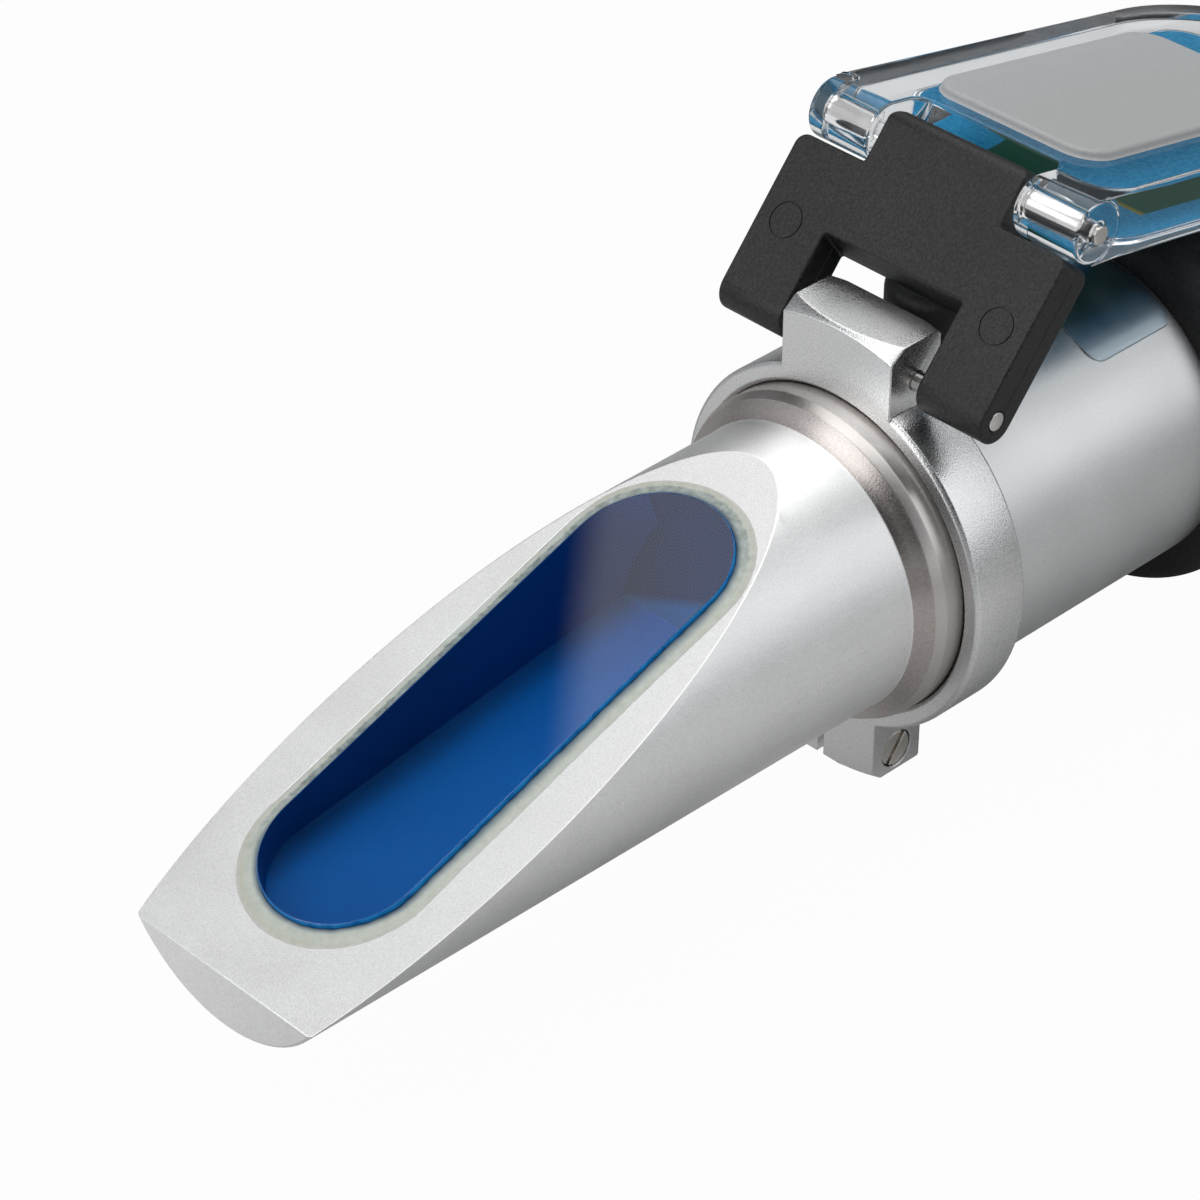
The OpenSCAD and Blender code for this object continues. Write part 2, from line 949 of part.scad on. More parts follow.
prism_head();
prism_glass();
blue_filter();
prism_seal();
clamp_ring();
clamp_screw();
hinge_link();
link_pin();
cover_plate();
cover_pin();
cover_label();
body_tube();
tube_film();
screw_bush();
calibration_screw();
calibration_cap();
strip_mount();
mount_screws();
bimetal_strip();
cell_screws();
objective_cell();
objective_lens();
objective_retainer();
reticle_cell();
reticle_disc();
reticle_retainer();
grip_sleeve();
eyepiece_barrel();
eyepiece_cell();
field_lens();
lens_spacer();
eye_lens();
eye_lens_retainer();
focus_ring();
eyecup();
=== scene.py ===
# %% Load the solid model
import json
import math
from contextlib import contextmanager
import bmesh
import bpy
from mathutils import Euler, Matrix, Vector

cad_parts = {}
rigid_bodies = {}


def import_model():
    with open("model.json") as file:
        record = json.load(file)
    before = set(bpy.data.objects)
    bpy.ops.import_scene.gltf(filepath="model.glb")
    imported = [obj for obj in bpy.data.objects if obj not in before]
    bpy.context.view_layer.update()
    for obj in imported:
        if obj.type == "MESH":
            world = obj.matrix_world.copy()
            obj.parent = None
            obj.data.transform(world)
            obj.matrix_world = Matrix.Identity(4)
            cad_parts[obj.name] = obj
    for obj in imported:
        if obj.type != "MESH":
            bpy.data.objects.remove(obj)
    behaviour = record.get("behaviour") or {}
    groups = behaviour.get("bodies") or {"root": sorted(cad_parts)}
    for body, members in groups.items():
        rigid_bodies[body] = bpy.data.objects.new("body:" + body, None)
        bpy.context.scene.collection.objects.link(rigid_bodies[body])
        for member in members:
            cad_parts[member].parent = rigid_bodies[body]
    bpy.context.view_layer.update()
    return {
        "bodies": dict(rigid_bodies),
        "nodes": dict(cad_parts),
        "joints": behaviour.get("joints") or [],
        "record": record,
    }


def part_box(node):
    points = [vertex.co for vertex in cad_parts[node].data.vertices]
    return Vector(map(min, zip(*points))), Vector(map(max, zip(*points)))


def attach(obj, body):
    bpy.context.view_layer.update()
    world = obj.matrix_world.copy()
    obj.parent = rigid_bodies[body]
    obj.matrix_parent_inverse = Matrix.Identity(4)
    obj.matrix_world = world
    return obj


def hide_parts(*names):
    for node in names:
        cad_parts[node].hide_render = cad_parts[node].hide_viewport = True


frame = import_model()

# %% [markdown]
# # A handheld refractometer
#
# A drop of liquid goes on the sloping glass window, the clear cover folds down over it, and the
# scale is read through the eyepiece at the other end. This notebook dresses the solid model of
# that instrument: it gives the solids their softened edges, their glass, their adhesive and their
# finishes, and puts them on a pale table under soft light. The solids are already in place, so
# nothing here is moved. All sizes are in metres, with the optical axis along X.
#
# First come the few modules that the rest needs, and a look at what was loaded. Each solid is a
# node that belongs to a moving body, and the record names the finish that each one takes.

mm = 0.001
record = frame["record"]
body_of_node = {n: body for body, names in record["behaviour"]["bodies"].items() for n in names}
finish_of_node = {part["node"]: part["material_slot"] for part in record["subparts"]}
joint_at = {j["name"]: Vector(j.get("pos_m", (0, 0, 0))) for j in frame["joints"]}
axis_z = joint_at["focus_turn"].z
print(len(body_of_node), "solids on", len(frame["bodies"]), "bodies; optical axis at", axis_z)

# %% [markdown]
# ## Helper for node trees
#
# Finishes, lamps, the world and the rules that grow a shape are all trees of nodes. A tree can be
# drawn by hand in an editor. Here one small class holds a tree and has a short word for each step
# that comes back, such as a sum, a ramp, a noise or a blend of two colours.

# %% Helper for node trees
class Nodes:
    """Short words for what is added to one tree."""

    def __init__(self, tree):
        self.tree = tree

    def add(self, kind, settings=None, **inputs):
        """Adds a node. From_Min=... fills an input by its name, _0=... fills one by its number."""
        item = self.tree.nodes.new(kind if "Node" in kind else "ShaderNode" + kind)
        for key, value in (settings or {}).items():
            setattr(item, key, value)
        for key, value in inputs.items():
            socket = item.inputs[int(key[1:])] if key[1:].isdigit() else item.inputs[key.replace("_", " ")]
            if isinstance(value, bpy.types.NodeSocket):
                self.tree.links.new(value, socket)
            else:
                socket.default_value = value
        return item.outputs

    def wire(self, socket, name, node="Principled BSDF"):
        """Leads a socket into an input of a node that every new tree has."""
        self.tree.links.new(socket, self.tree.nodes[node].inputs[name])

    def calc(self, operation, *values):
        """One step of arithmetic."""
        return self.add("Math", {"operation": operation}, **{"_%d" % i: v for i, v in enumerate(values)})[0]

    def vectors(self, operation, first, second=(0, 0, 0)):
        """One step of arithmetic on vectors, which gives a number or a vector."""
        result = self.add("VectorMath", {"operation": operation}, _0=first, _1=second)
        return result["Value" if operation in ("DISTANCE", "DOT_PRODUCT") else "Vector"]

    def scaled(self, colour, share):
        return self.add("VectorMath", {"operation": "SCALE"}, _0=colour, Scale=share)[0]

    def ramp(self, value, start, end, low=0.0, high=1.0, soft=False):
        """Goes from low to high while a value goes from start to end, and stays level outside."""
        shape = {"interpolation_type": "SMOOTHSTEP" if soft else "LINEAR"}
        return self.add("MapRange", shape, Value=value, From_Min=start, From_Max=end, To_Min=low, To_Max=high)[0]

    def noise(self, place, scale, detail=2.0, rough=0.5):
        return self.add("TexNoise", Vector=place, Scale=scale, Detail=detail, Roughness=rough)[0]

    def spread(self, noise, low, high, start=0.3, end=0.7):
        """Stretches a noise, which mostly lies near a half, between two numbers."""
        return self.ramp(noise, start, end, low, high)

    def mix(self, share, first, second, blend="MIX"):
        """Blends two colours, each a socket or three numbers."""
        first, second = (c if isinstance(c, bpy.types.NodeSocket) else (*c, 1) for c in (first, second))
        return self.add("Mix", {"data_type": "RGBA", "blend_type": blend}, _0=share, _6=first, _7=second)[2]

    def mottled(self, noise, first, second, start=0.3, end=0.7):
        """Two colours that take turns where a noise is low and high."""
        return self.mix(self.spread(noise, 0.0, 1.0, start, end), first, second)

    def dent(self, height, strength, depth, under=None):
        """A bump, laid over another one if there is one."""
        below = {} if under is None else {"Normal": under}
        return self.add("Bump", Strength=strength, Distance=depth, Height=height, **below)[0]

    def place(self):
        """Object coordinates, which are metres here."""
        return self.add("TexCoord")["Object"]

    def leaning_place(self, middle, angle):
        """Coordinates about another middle, turned round Y."""
        return self.add("Mapping", {"vector_type": "TEXTURE"}, Vector=self.place(), Location=tuple(middle),
                        Rotation=(0.0, angle, 0.0))[0]

    def part_of(self, vector, letter):
        return self.add("SeparateXYZ", _0=vector)[letter]


def start_finish(name, **constants):
    """A new material and its node helper. The constants are set on the Principled shader."""
    material = bpy.data.materials.new(name)
    material.use_nodes = True
    for key, value in constants.items():
        material.node_tree.nodes["Principled BSDF"].inputs[key.replace("_", " ")].default_value = value
    return material, Nodes(material.node_tree)


def turned_to(right, up, back):
    """The turn whose X, Y and Z point along three directions."""
    return Matrix((right, up, back)).transposed().to_4x4()


def leaning(place, angle):
    """Axes at a place, turned round Y."""
    return Matrix.Translation(place) @ Euler((0, angle, 0)).to_matrix().to_4x4()


print("helpers ready")

# %% [markdown]
# ## Camera
#
# The camera stands where the photographer's did: in front of the prism head, to its left and
# above, with a long lens. A camera could be pointed with a Track To constraint. Here its three
# directions are given as the columns of a matrix, because they come from matching about 150
# points of the object with the picture, and a matrix keeps the small roll that the match found.

# %% Camera
scene = bpy.context.scene
camera_data = bpy.data.cameras.new("camera")
camera_data.sensor_width = 36
camera_data.lens = 132.85
camera_data.clip_start = 0.01
camera_data.clip_end = 20
camera = bpy.data.objects.new("camera", camera_data)
scene.collection.objects.link(camera)
view_right = Vector((0.71656, -0.69752, 0.00399))
view_up = Vector((0.40014, 0.41574, 0.81673))
view_back = Vector((-0.57134, -0.58364, 0.57700))
camera.matrix_world = Matrix.Translation((-0.228518, -0.183252, 0.207314)) @ turned_to(view_right, view_up, view_back)
scene.camera = camera
print("camera", round(camera.location.length, 3), "m from the origin")

# %% [markdown]
# ## Table and light
#
# A product picture is usually taken on a white sweep under large soft lamps. The table here is
# one wide plane. Its material mixes a pale matt surface, which catches the shadow, with plain
# white for the rays that come from the camera or that metal and glass send out, so the table
# reads as white without any more lamp light falling on the object. Rays that come through glass
# see only 0.65 of that white, a painted shade for the shadowed table behind the clear cover. The
# matt colour of the sweep is painted paler on the left, as painted light from that side. Three
# round white cards lie on it, which only metal and glass mirror. The wide one in front of the head
# lightens the low side of the cone, the one behind it lights the lug and the front of the ring,
# and the small one lights the clamp ears. The underside of the barrel mirrors none of them and
# goes grey. A grey cloth far in front on the left is what the bevel of the head mirrors.

# %% White table
scene.view_settings.view_transform = "Standard"
half = 4.0
just_below = -0.0001
white_to_camera = 0.97
# painted shade: what is seen through glass is a grey of 0.65 instead of white
painted_shade_through_glass = 0.65
bare_gleam = 0.06
cards = (
    # middle, radius that is fully white, radius where it ends, how white
    ((-0.028, -0.085, 0.0), 0.020, 0.085, 0.38),
    ((-0.092, 0.040, 0.0), 0.018, 0.060, 0.46),
    ((-0.031, 0.003, 0.0), 0.004, 0.018, 0.36),
)

table_mesh = bpy.data.meshes.new("table")
table_mesh.from_pydata([(-half, -half, 0), (half, -half, 0), (half, half, 0), (-half, half, 0)], [], [(0, 1, 2, 3)])
table = bpy.data.objects.new("table", table_mesh)
table.location.z = just_below
scene.collection.objects.link(table)

table_finish, sweep = start_finish("table white", Roughness=0.9)
spot = sweep.add("NewGeometry")["Position"]
# painted light: the matt colour is paler on the left, where the light comes from
painted_light_left = sweep.ramp(sweep.vectors("DOT_PRODUCT", spot, (-1.0, 0.0, 0.0)), -0.03, 0.08, 0.31, 0.43)
cloth = sweep.ramp(sweep.vectors("DISTANCE", spot, (-0.17, -0.15, 0.0)), 0.06, 0.11, 0.4, 1.0, soft=True)
sweep.wire(sweep.calc("MULTIPLY", painted_light_left, cloth), "Base Color")
gleam = bare_gleam
for middle, whole, gone, share in cards:
    away = sweep.vectors("DISTANCE", spot, middle)
    gleam = sweep.calc("MAXIMUM", sweep.ramp(away, whole, gone, share, bare_gleam, soft=True), gleam)
rays = sweep.add("LightPath")
whiteness = sweep.calc("MULTIPLY", rays["Is Camera Ray"], white_to_camera)
whiteness = sweep.calc("MULTIPLY_ADD", rays["Is Glossy Ray"], gleam, whiteness)
whiteness = sweep.calc("MULTIPLY_ADD", rays["Is Transmission Ray"], painted_shade_through_glass, whiteness)
matt = table_finish.node_tree.nodes["Principled BSDF"].outputs[0]
white = sweep.add("Emission")[0]
sweep.wire(sweep.add("MixShader", _0=whiteness, _1=matt, _2=white)[0], "Surface", "Material Output")
table_mesh.materials.append(table_finish)
print("table", 2 * half, "m wide, with", len(cards), "cards")

# %% [markdown]
# The lamps are area lights, because a large lamp near a small object gives the broad, soft-edged
# highlights of a light tent. The main one hangs above and behind, and its long edge is set
# where the sample window mirrors it: the pale half of the window in the picture is that lamp, and
# the deep blue half mirrors the dark beside it. Its light fades in fast from that edge and is
# strongest near it. Two weaker lamps stand on the right in front and on the left.
#
# The world adds a low light that falls off from the left to the right. It has two dark patches:
# one where the deep blue half of the window mirrors it, and one round the camera, because the
# room behind a photographer is dark. The chamfers that face the camera mirror that second patch
# and turn dark, as in the picture.

# %% Lamps
def soft_lamp(name, place, along, facing, wide, high, watts):
    """A soft lamp whose width runs along one direction and whose back looks along another."""
    data = bpy.data.lights.new(name, "AREA")
    data.shape = "RECTANGLE"
    data.size = wide
    data.size_y = high
    data.energy = watts
    lamp = bpy.data.objects.new(name, data)
    back = -Vector(facing).normalized()
    side = (Vector(along) - Vector(along).dot(back) * back).normalized()
    lamp.matrix_world = Matrix.Translation(place) @ turned_to(side, back.cross(side), back)
    scene.collection.objects.link(lamp)
    return lamp


mirrored_edge = Vector((-0.0013, 0.4408, 0.6297))
edge_along = Vector((0.8781, 0.4627, -0.1222))
away_from_edge = Vector((0.4568, -0.7344, 0.5019))
lamp_wide, lamp_deep = 1.1, 0.955
soft_edge = 0.005
lamp_middle = mirrored_edge + away_from_edge * (lamp_deep / 2 - soft_edge)
above = soft_lamp("lamp above", lamp_middle, edge_along, (-0.0514, -0.5851, -0.8093), lamp_wide, lamp_deep, 4.5)
above.data.color = (0.975, 0.98, 0.965)
soft_lamp("lamp front right", (0.42, -0.52, 0.36), (0.8, 0.6, 0), (-0.42, 0.52, -0.34), 0.5, 0.5, 0.45)
soft_lamp("lamp left", (-0.62, 0.12, 0.42), (0.1, 1, 0), (0.6, -0.1, -0.4), 0.5, 0.5, 1.2)

above.data.use_nodes = True
glow = Nodes(above.data.node_tree)
inward = glow.vectors("DOT_PRODUCT", glow.add("NewGeometry")["Position"], away_from_edge)
edge_at = mirrored_edge.dot(away_from_edge) + 0.003
fade = glow.ramp(inward, edge_at - soft_edge, edge_at + 1.5 * soft_edge, soft=True)
hot_edge = glow.ramp(inward, edge_at + 0.08, edge_at + 0.30, 1.18, 0.91)
glow.wire(glow.calc("MULTIPLY", fade, hot_edge), "Strength", "Emission")

world = bpy.data.worlds.new("studio")
scene.world = world
world.use_nodes = True
studio = Nodes(world.node_tree)
direction = studio.add("TexCoord")["Generated"]


def towards(aim, start, end, low, high, soft=True):
    """A level that changes where the world is looked at more and more along a direction."""
    return studio.ramp(studio.vectors("DOT_PRODUCT", direction, aim), start, end, low, high, soft)


dark_patch = towards((0.02, 0.67, 0.742), 0.89, 0.975, 1.0, 0.01)
dark_room = towards(view_back, 0.72, 0.96, 1.0, 0.04)
falling = towards((-0.80, -0.50, 0.33), -0.7, 0.5, 0.10, 0.82, soft=False)
level = studio.calc("MULTIPLY", falling, studio.calc("MULTIPLY", dark_room, dark_patch))
low_light = world.node_tree.nodes["Background"]
low_light.inputs["Color"].default_value = (0.95, 0.97, 1.0, 1)
studio.wire(level, "Strength", "Background")
rays = studio.add("LightPath")
# painted shade: the backdrop seen through glass is the same grey of 0.65
seen_through = studio.calc("MULTIPLY", rays["Is Transmission Ray"], painted_shade_through_glass)
shown = studio.calc("MAXIMUM", rays["Is Camera Ray"], seen_through)
backdrop = studio.add("Background", Color=(1, 1, 1, 1))[0]
both = studio.add("MixShader", _0=shown, _1=low_light.outputs[0], _2=backdrop)[0]
studio.wire(both, "Surface", "World Output")

# %% [markdown]
# ## Finishes
#
# Each finish is a Principled shader with a few texture nodes in front of it. A texture image
# could be used instead, but a procedural one is sharp at any distance and needs no unwrapping.
# They all read Object coordinates, which are metres here, so a noise scale of 5000 makes grains
# of about a fifth of a millimetre.
#
# ### Aluminium
#
# The head and the tube are blasted with fine beads: a dull silver skin of tiny dimples. The
# dimples are a bump from a fine noise, and a second, broader noise lets the roughness and the
# grey wander a little, as they do on anodised metal. The sample face is a shade duller. The clamp
# ring is blasted more coarsely and shines more, so its grains sparkle. The turned chamfers carry
# fine rings, made by a noise that is squeezed along X until it only changes from one end of the
# part to the other.

# %% Blasted aluminium
def blasted(name, grey, grain, dimple, rough_low, rough_high, rings=0.0, speckle=0.06, detail=3.0):
    material, skin = start_finish(name, Metallic=1.0)
    place = skin.place()
    fine = skin.noise(place, grain, detail, 0.6)
    broad = skin.noise(place, 160.0, 3.0)
    tone = skin.mottled(fine, [c * (1 - speckle) for c in grey], [min(1.0, c * (1 + speckle)) for c in grey])
    skin.wire(skin.mix(1.0, tone, skin.spread(broad, 0.97, 1.0), "MULTIPLY"), "Base Color")
    average = skin.calc("MULTIPLY_ADD", fine, 0.5, skin.calc("MULTIPLY", broad, 0.5))
    skin.wire(skin.spread(average, rough_low, rough_high, 0.35, 0.65), "Roughness")
    bump = skin.dent(fine, dimple, 0.02 * mm)
    if rings:
        squeezed = skin.add("Mapping", Vector=place, Scale=(9000.0, 60.0, 60.0))[0]
        bump = skin.dent(skin.noise(squeezed, 1.0), rings, 0.01 * mm, bump)
    skin.wire(bump, "Normal")
    return material


satin = blasted("satin aluminium", (0.93, 0.93, 0.92), 7500.0, 0.6, 0.38, 0.49, speckle=0.10)
face_satin = blasted("satin sample face", (0.83, 0.83, 0.825), 7500.0, 0.6, 0.46, 0.58, speckle=0.10)
barrel_satin = blasted("satin barrel", (0.80, 0.81, 0.81), 6500.0, 0.40, 0.34, 0.46, rings=0.12)
sparkling = blasted("sparkling aluminium", (0.80, 0.80, 0.80), 8000.0, 1.0, 0.24, 0.34, speckle=0.12, detail=1.0)
turned = blasted("turned aluminium", (0.60, 0.57, 0.55), 5200.0, 0.18, 0.26, 0.38, rings=0.35)
bevel_tint = blasted("turned bevel", (0.52, 0.475, 0.455), 6500.0, 0.4, 0.22, 0.30, rings=0.15, speckle=0.14)
print("aluminium finishes:", [m.name for m in (satin, face_satin, barrel_satin, sparkling, turned, bevel_tint)])

# %% [markdown]
# ### Plastic, rubber, steel and brass
#
# The hinge link is moulded in a spark-eroded tool, which leaves an even grain that turns black
# plastic dark grey in the light. The pale grains in its colour are partly that grain and partly
# painted glints, which stand in for the sparkle of light on it. A fine groove round its sides is
# the parting line, where the two halves of the tool met; its colour is painted darker in the
# groove, as shade. Rubber is the same idea, darker and duller. The pins are drawn steel: the
# streaks run along the pin, so the noise is squeezed along Y. Brass and the hidden parts get a
# light turned grain.

# %% Moulded and metal finishes
def moulded(name, colour, grain, depth, rough_low, rough_high, speckle=0.35, seam=None):
    material, skin = start_finish(name)
    place = skin.place()
    fine = skin.noise(place, grain, 4.0, 0.65)
    # painted highlight: the pale end of the mottle is up to 2.5 times the colour, as glints on the grain
    dark, light = [c * (1 - speckle) for c in colour], [c * (1 + 2.5 * speckle) for c in colour]
    tone = skin.mottled(fine, dark, light, 0.4, 0.75)
    bump = skin.dent(fine, depth, 0.05 * mm)
    if seam:
        middle, lean, how_deep = seam
        from_seam = skin.calc("SUBTRACT", skin.part_of(skin.leaning_place(middle, lean), "X"), how_deep)
        groove = skin.ramp(skin.calc("ABSOLUTE", from_seam), 0.02 * mm, 0.09 * mm)
        # painted shade: the colour drops to 0.15 of itself in the groove
        tone = skin.scaled(tone, skin.ramp(groove, 0.0, 1.0, 0.15, 1.0))
        bump = skin.dent(groove, 1.0, 0.05 * mm, bump)
    skin.wire(tone, "Base Color")
    skin.wire(skin.spread(skin.noise(place, 120.0), rough_low, rough_high), "Roughness")
    skin.wire(bump, "Normal")
    return material


def drawn(name, colour, squeeze, rough_low, rough_high):
    material, skin = start_finish(name, Metallic=1.0)
    grain = skin.noise(skin.add("Mapping", Vector=skin.place(), Scale=squeeze)[0], 1.0, 3.0)
    skin.wire(skin.mottled(grain, [c * 0.9 for c in colour], colour), "Base Color")
    skin.wire(skin.spread(grain, rough_low, rough_high), "Roughness")
    skin.wire(skin.dent(grain, 0.2, 0.01 * mm), "Normal")
    return material


link_lean = math.radians(40.2)
link_seam = (joint_at["link_pivot"], link_lean, 0.2 * mm)
link_plastic = moulded("grained black plastic", (0.008, 0.008, 0.0078), 4200.0, 1.0, 0.38, 0.48, 0.98, link_seam)
black_rubber = moulded("black rubber", (0.014, 0.014, 0.015), 2600.0, 0.25, 0.55, 0.70)
black_anodised = moulded("black anodised", (0.02, 0.02, 0.022), 5200.0, 0.2, 0.35, 0.5)
pin_steel = drawn("drawn steel", (0.78, 0.75, 0.72), (6000.0, 150.0, 6000.0), 0.10, 0.22)
screw_steel = drawn("bright screw steel", (0.80, 0.76, 0.70), (3000.0, 300.0, 3000.0), 0.12, 0.28)
brass = drawn("turned brass", (0.75, 0.58, 0.30), (3000.0, 3000.0, 400.0), 0.2, 0.35)
strip_metal = drawn("rolled strip", (0.62, 0.48, 0.36), (200.0, 5000.0, 5000.0), 0.22, 0.36)
print("moulded and metal finishes made")

# %% [markdown]
# ### Glass, filter, adhesive and clear plastic
#
# Glass and clear plastic need real refraction, so they are Principled shaders with full
# transmission and their own index of refraction: 1.52 for the prism, 1.49 for acrylic. The blue
# that is seen in the window is not in the glass: it is the filter that lines the pocket below.
# Where glass covers something, a Light Path node makes it plainly transparent to rays that go to
# a lamp, so that the filter and the label are lit. The pad on the cover is ground, so its face
# scatters light and reads as plain grey. The clear film on the tube is stuck flat to the metal, so
# it is shown as what is seen through it: satin metal, a little darker and bluer, under a gloss
# coat.
#
# The adhesive around the window is milky and uneven. Its colour follows two numbers that the
# bead carries as a UV map: how far round it lies, and how far across from the glass. In the
# corner by the glass it is painted blue-grey, as the shade and the blue reflection of the glass;
# further out it is cream, and rougher and greyer along the left side and at the ring end.

# %% Clear and coloured finishes
def let_lamps_through(material, skin, tint):
    """Lets the light of lamps reach what lies behind glass, which refraction alone finds slowly."""
    bare = skin.add("BsdfTransparent", Color=(*[c * 0.95 for c in tint], 1))[0]
    glass = material.node_tree.nodes["Principled BSDF"].outputs[0]
    both = skin.add("MixShader", _0=skin.add("LightPath")["Is Shadow Ray"], _1=glass, _2=bare)[0]
    skin.wire(both, "Surface", "Material Output")


def clear(name, tint, index, rough_low, rough_high, ripple=0.0, shine=0.5):
    material, skin = start_finish(
        name, Base_Color=(*tint, 1), IOR=index, Transmission_Weight=1.0, Specular_IOR_Level=shine)
    smear = skin.noise(skin.place(), 260.0, 3.0)
    skin.wire(skin.spread(smear, rough_low, rough_high, 0.45, 0.8), "Roughness")
    if ripple:
        skin.wire(skin.dent(smear, ripple, 0.02 * mm), "Normal")
    let_lamps_through(material, skin, tint)
    return material


def hazy(name, grain, first, second, rough_low, rough_high, depth=0.0, **constants):
    """A finish whose colour, roughness and dents all follow one noise."""
    material, skin = start_finish(name, **constants)
    haze = skin.noise(skin.place(), *grain)
    skin.wire(skin.mottled(haze, first, second), "Base Color")
    skin.wire(skin.spread(haze, rough_low, rough_high), "Roughness")
    if depth:
        skin.wire(skin.dent(haze, depth, 0.02 * mm), "Normal")
    return material, skin, haze


prism_clear = clear("prism glass", (0.97, 0.99, 1.0), 1.52, 0.0, 0.01, shine=0.68)
lens_clear = clear("lens glass", (0.97, 0.99, 1.0), 1.60, 0.0, 0.01)
# partly painted shade: the grey-blue tint is partly the plastic's own and partly stands for the shadowed table seen
# through the cover
acrylic = clear("clear acrylic", (0.90, 0.915, 0.93), 1.49, 0.06, 0.13, ripple=0.03)

frosted, pad, _ = hazy("frosted pad", (3500.0, 4.0, 0.7), (0.47, 0.47, 0.465), (0.54, 0.54, 0.535), 0.45, 0.6,
                       depth=0.2, Transmission_Weight=0.12, IOR=1.49)
let_lamps_through(frosted, pad, (0.8, 0.8, 0.8))
filter_blue, _, _ = hazy("blue filter", (90.0,), (0.0, 0.13, 0.50), (0.0, 0.16, 0.56), 0.25, 0.4, Coat_Weight=0.3)
film_look, film, haze = hazy("film on satin metal", (400.0, 3.0), (0.40, 0.49, 0.56), (0.46, 0.55, 0.61), 0.30, 0.40,
                             depth=0.1, Metallic=1.0, Coat_Weight=1.0, Coat_IOR=1.5)
film.wire(film.spread(haze, 0.03, 0.08), "Coat Roughness")
print("clear finishes made")

# %% Cured adhesive
adhesive, glue = start_finish("cured adhesive", Transmission_Weight=0.1, IOR=1.45, Subsurface_Weight=0.2)
lumps = glue.noise(glue.place(), 1500.0, 6.0, 0.7)
patches = glue.noise(glue.place(), 220.0)
round_and_across = glue.add("TexCoord")["UV"]
way_round = glue.part_of(round_and_across, "X")
from_glass = glue.part_of(round_and_across, "Y")
cream = glue.mottled(lumps, (0.66, 0.655, 0.54), (0.80, 0.795, 0.69))
grey = glue.mottled(lumps, (0.17, 0.19, 0.18), (0.52, 0.54, 0.50), 0.35, 0.65)
left_side = glue.ramp(way_round, 0.27, 0.34, 1.0, 0.0)
ring_end = glue.ramp(way_round, 0.80, 0.86, 0.0, 0.7)
right_side = glue.calc("MULTIPLY", glue.ramp(way_round, 0.48, 0.56), glue.ramp(way_round, 0.78, 0.84, 1.0, 0.0))
ragged = glue.calc("MULTIPLY_ADD", lumps, 0.35, from_glass)
painted_shade_edge = glue.calc("MULTIPLY_ADD", patches, 0.3, from_glass)
# a greyer band near the glass along the left side and at the ring end
greyer_band = glue.calc("MULTIPLY", glue.calc("MAXIMUM", left_side, ring_end), glue.ramp(ragged, 0.72, 0.84, 1.0, 0.0))
painted_shade_reach = glue.calc("MULTIPLY_ADD", right_side, 0.33, 0.50)
tone = glue.mix(greyer_band, cream, grey)
# painted shade and painted reflection: blue-grey beside the glass, reaching further on the right side
tone = glue.mix(glue.ramp(painted_shade_edge, 0.15, painted_shade_reach, 0.85, 0.0, soft=True), tone, (0.07, 0.13, 0.20))
tone = glue.mix(glue.ramp(ragged, 0.95, 1.2, 0.0, 0.8, soft=True), tone, (0.80, 0.80, 0.79))
glue.wire(tone, "Base Color")
glue.wire(glue.spread(patches, 0.30, 0.5), "Roughness")
glue.wire(glue.dent(lumps, 0.45, 0.10 * mm), "Normal")
print("adhesive made")

# %% [markdown]
# ### Printed label
#
# The film in the back of the cover has a blue border round a dark green field with an ochre foot.
# With the cover open the field shows only at a slant, through the plate. The border is a rule:
# how far a point lies from the edge of the film, which is the larger of its distances along and
# across, measured from the middle. The Mapping node turns the coordinates so that X runs along
# the cover.

# %% Label film
cover_slope = math.radians(10.93)
cover_pivot = joint_at["cover_pivot"]
film_middle = (21.55 * mm, 0.0, 0.0)
film_half = (16.85 * mm, 10.2 * mm, 1.0)
label_film, tag = start_finish("label film", Specular_IOR_Level=0.0)
local = tag.vectors("SUBTRACT", tag.leaning_place(cover_pivot, cover_slope), film_middle)
past = tag.vectors("SUBTRACT", tag.vectors("ABSOLUTE", local), film_half)
edge = tag.calc("MAXIMUM", tag.part_of(past, "X"), tag.part_of(past, "Y"))
inside = tag.ramp(edge, -5.7 * mm, -5.6 * mm, 1.0, 0.0)
foot = tag.ramp(tag.part_of(local, "X"), -11.1 * mm, -10.5 * mm, 1.0, 0.0)
grain = tag.noise(tag.place(), 2600.0, 3.0)
blue = tag.mottled(grain, (0.02, 0.22, 0.44), (0.06, 0.34, 0.58))
field = tag.mix(foot, (0.03, 0.11, 0.075), (0.36, 0.30, 0.04))
tag.wire(tag.mix(inside, blue, field), "Base Color")
tag.wire(tag.spread(grain, 0.3, 0.45), "Roughness")
print("label finish made")

# %% [markdown]
# ## Softened edges
#
# A solid model has edges as sharp as a knife. Real ones are rounded by tumbling, blasting or the
# mould, and that thin round is what catches the light. The helper copies a solid, welds its
# loose triangles together, and lets a Bevel modifier round every edge that is sharper than an
# angle, which a bevel weight marks. The result is turned into a plain mesh with new_from_object,
# so that no modifier is left on the piece. Then the rims of the large flat faces are marked
# sharp, so that those faces mirror as flat as they are.

# %% Helper for pieces
same_place = 2e-6
large_face = 3 * mm * mm


@contextmanager
def edited(mesh):
    """Opens a mesh for editing and writes it back at the end."""
    work = bmesh.new()
    work.from_mesh(mesh)
    yield work
    work.to_mesh(mesh)
    work.free()


def put(name, mesh, node, *finishes):
    """Shows a mesh in place of a solid: it rides on that solid's body and takes its finish."""
    piece = bpy.data.objects.new(name, mesh)
    scene.collection.objects.link(piece)
    mesh.materials.clear()
    for material in finishes:
        mesh.materials.append(material)
    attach(piece, body_of_node[node])
    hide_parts(node)
    return piece


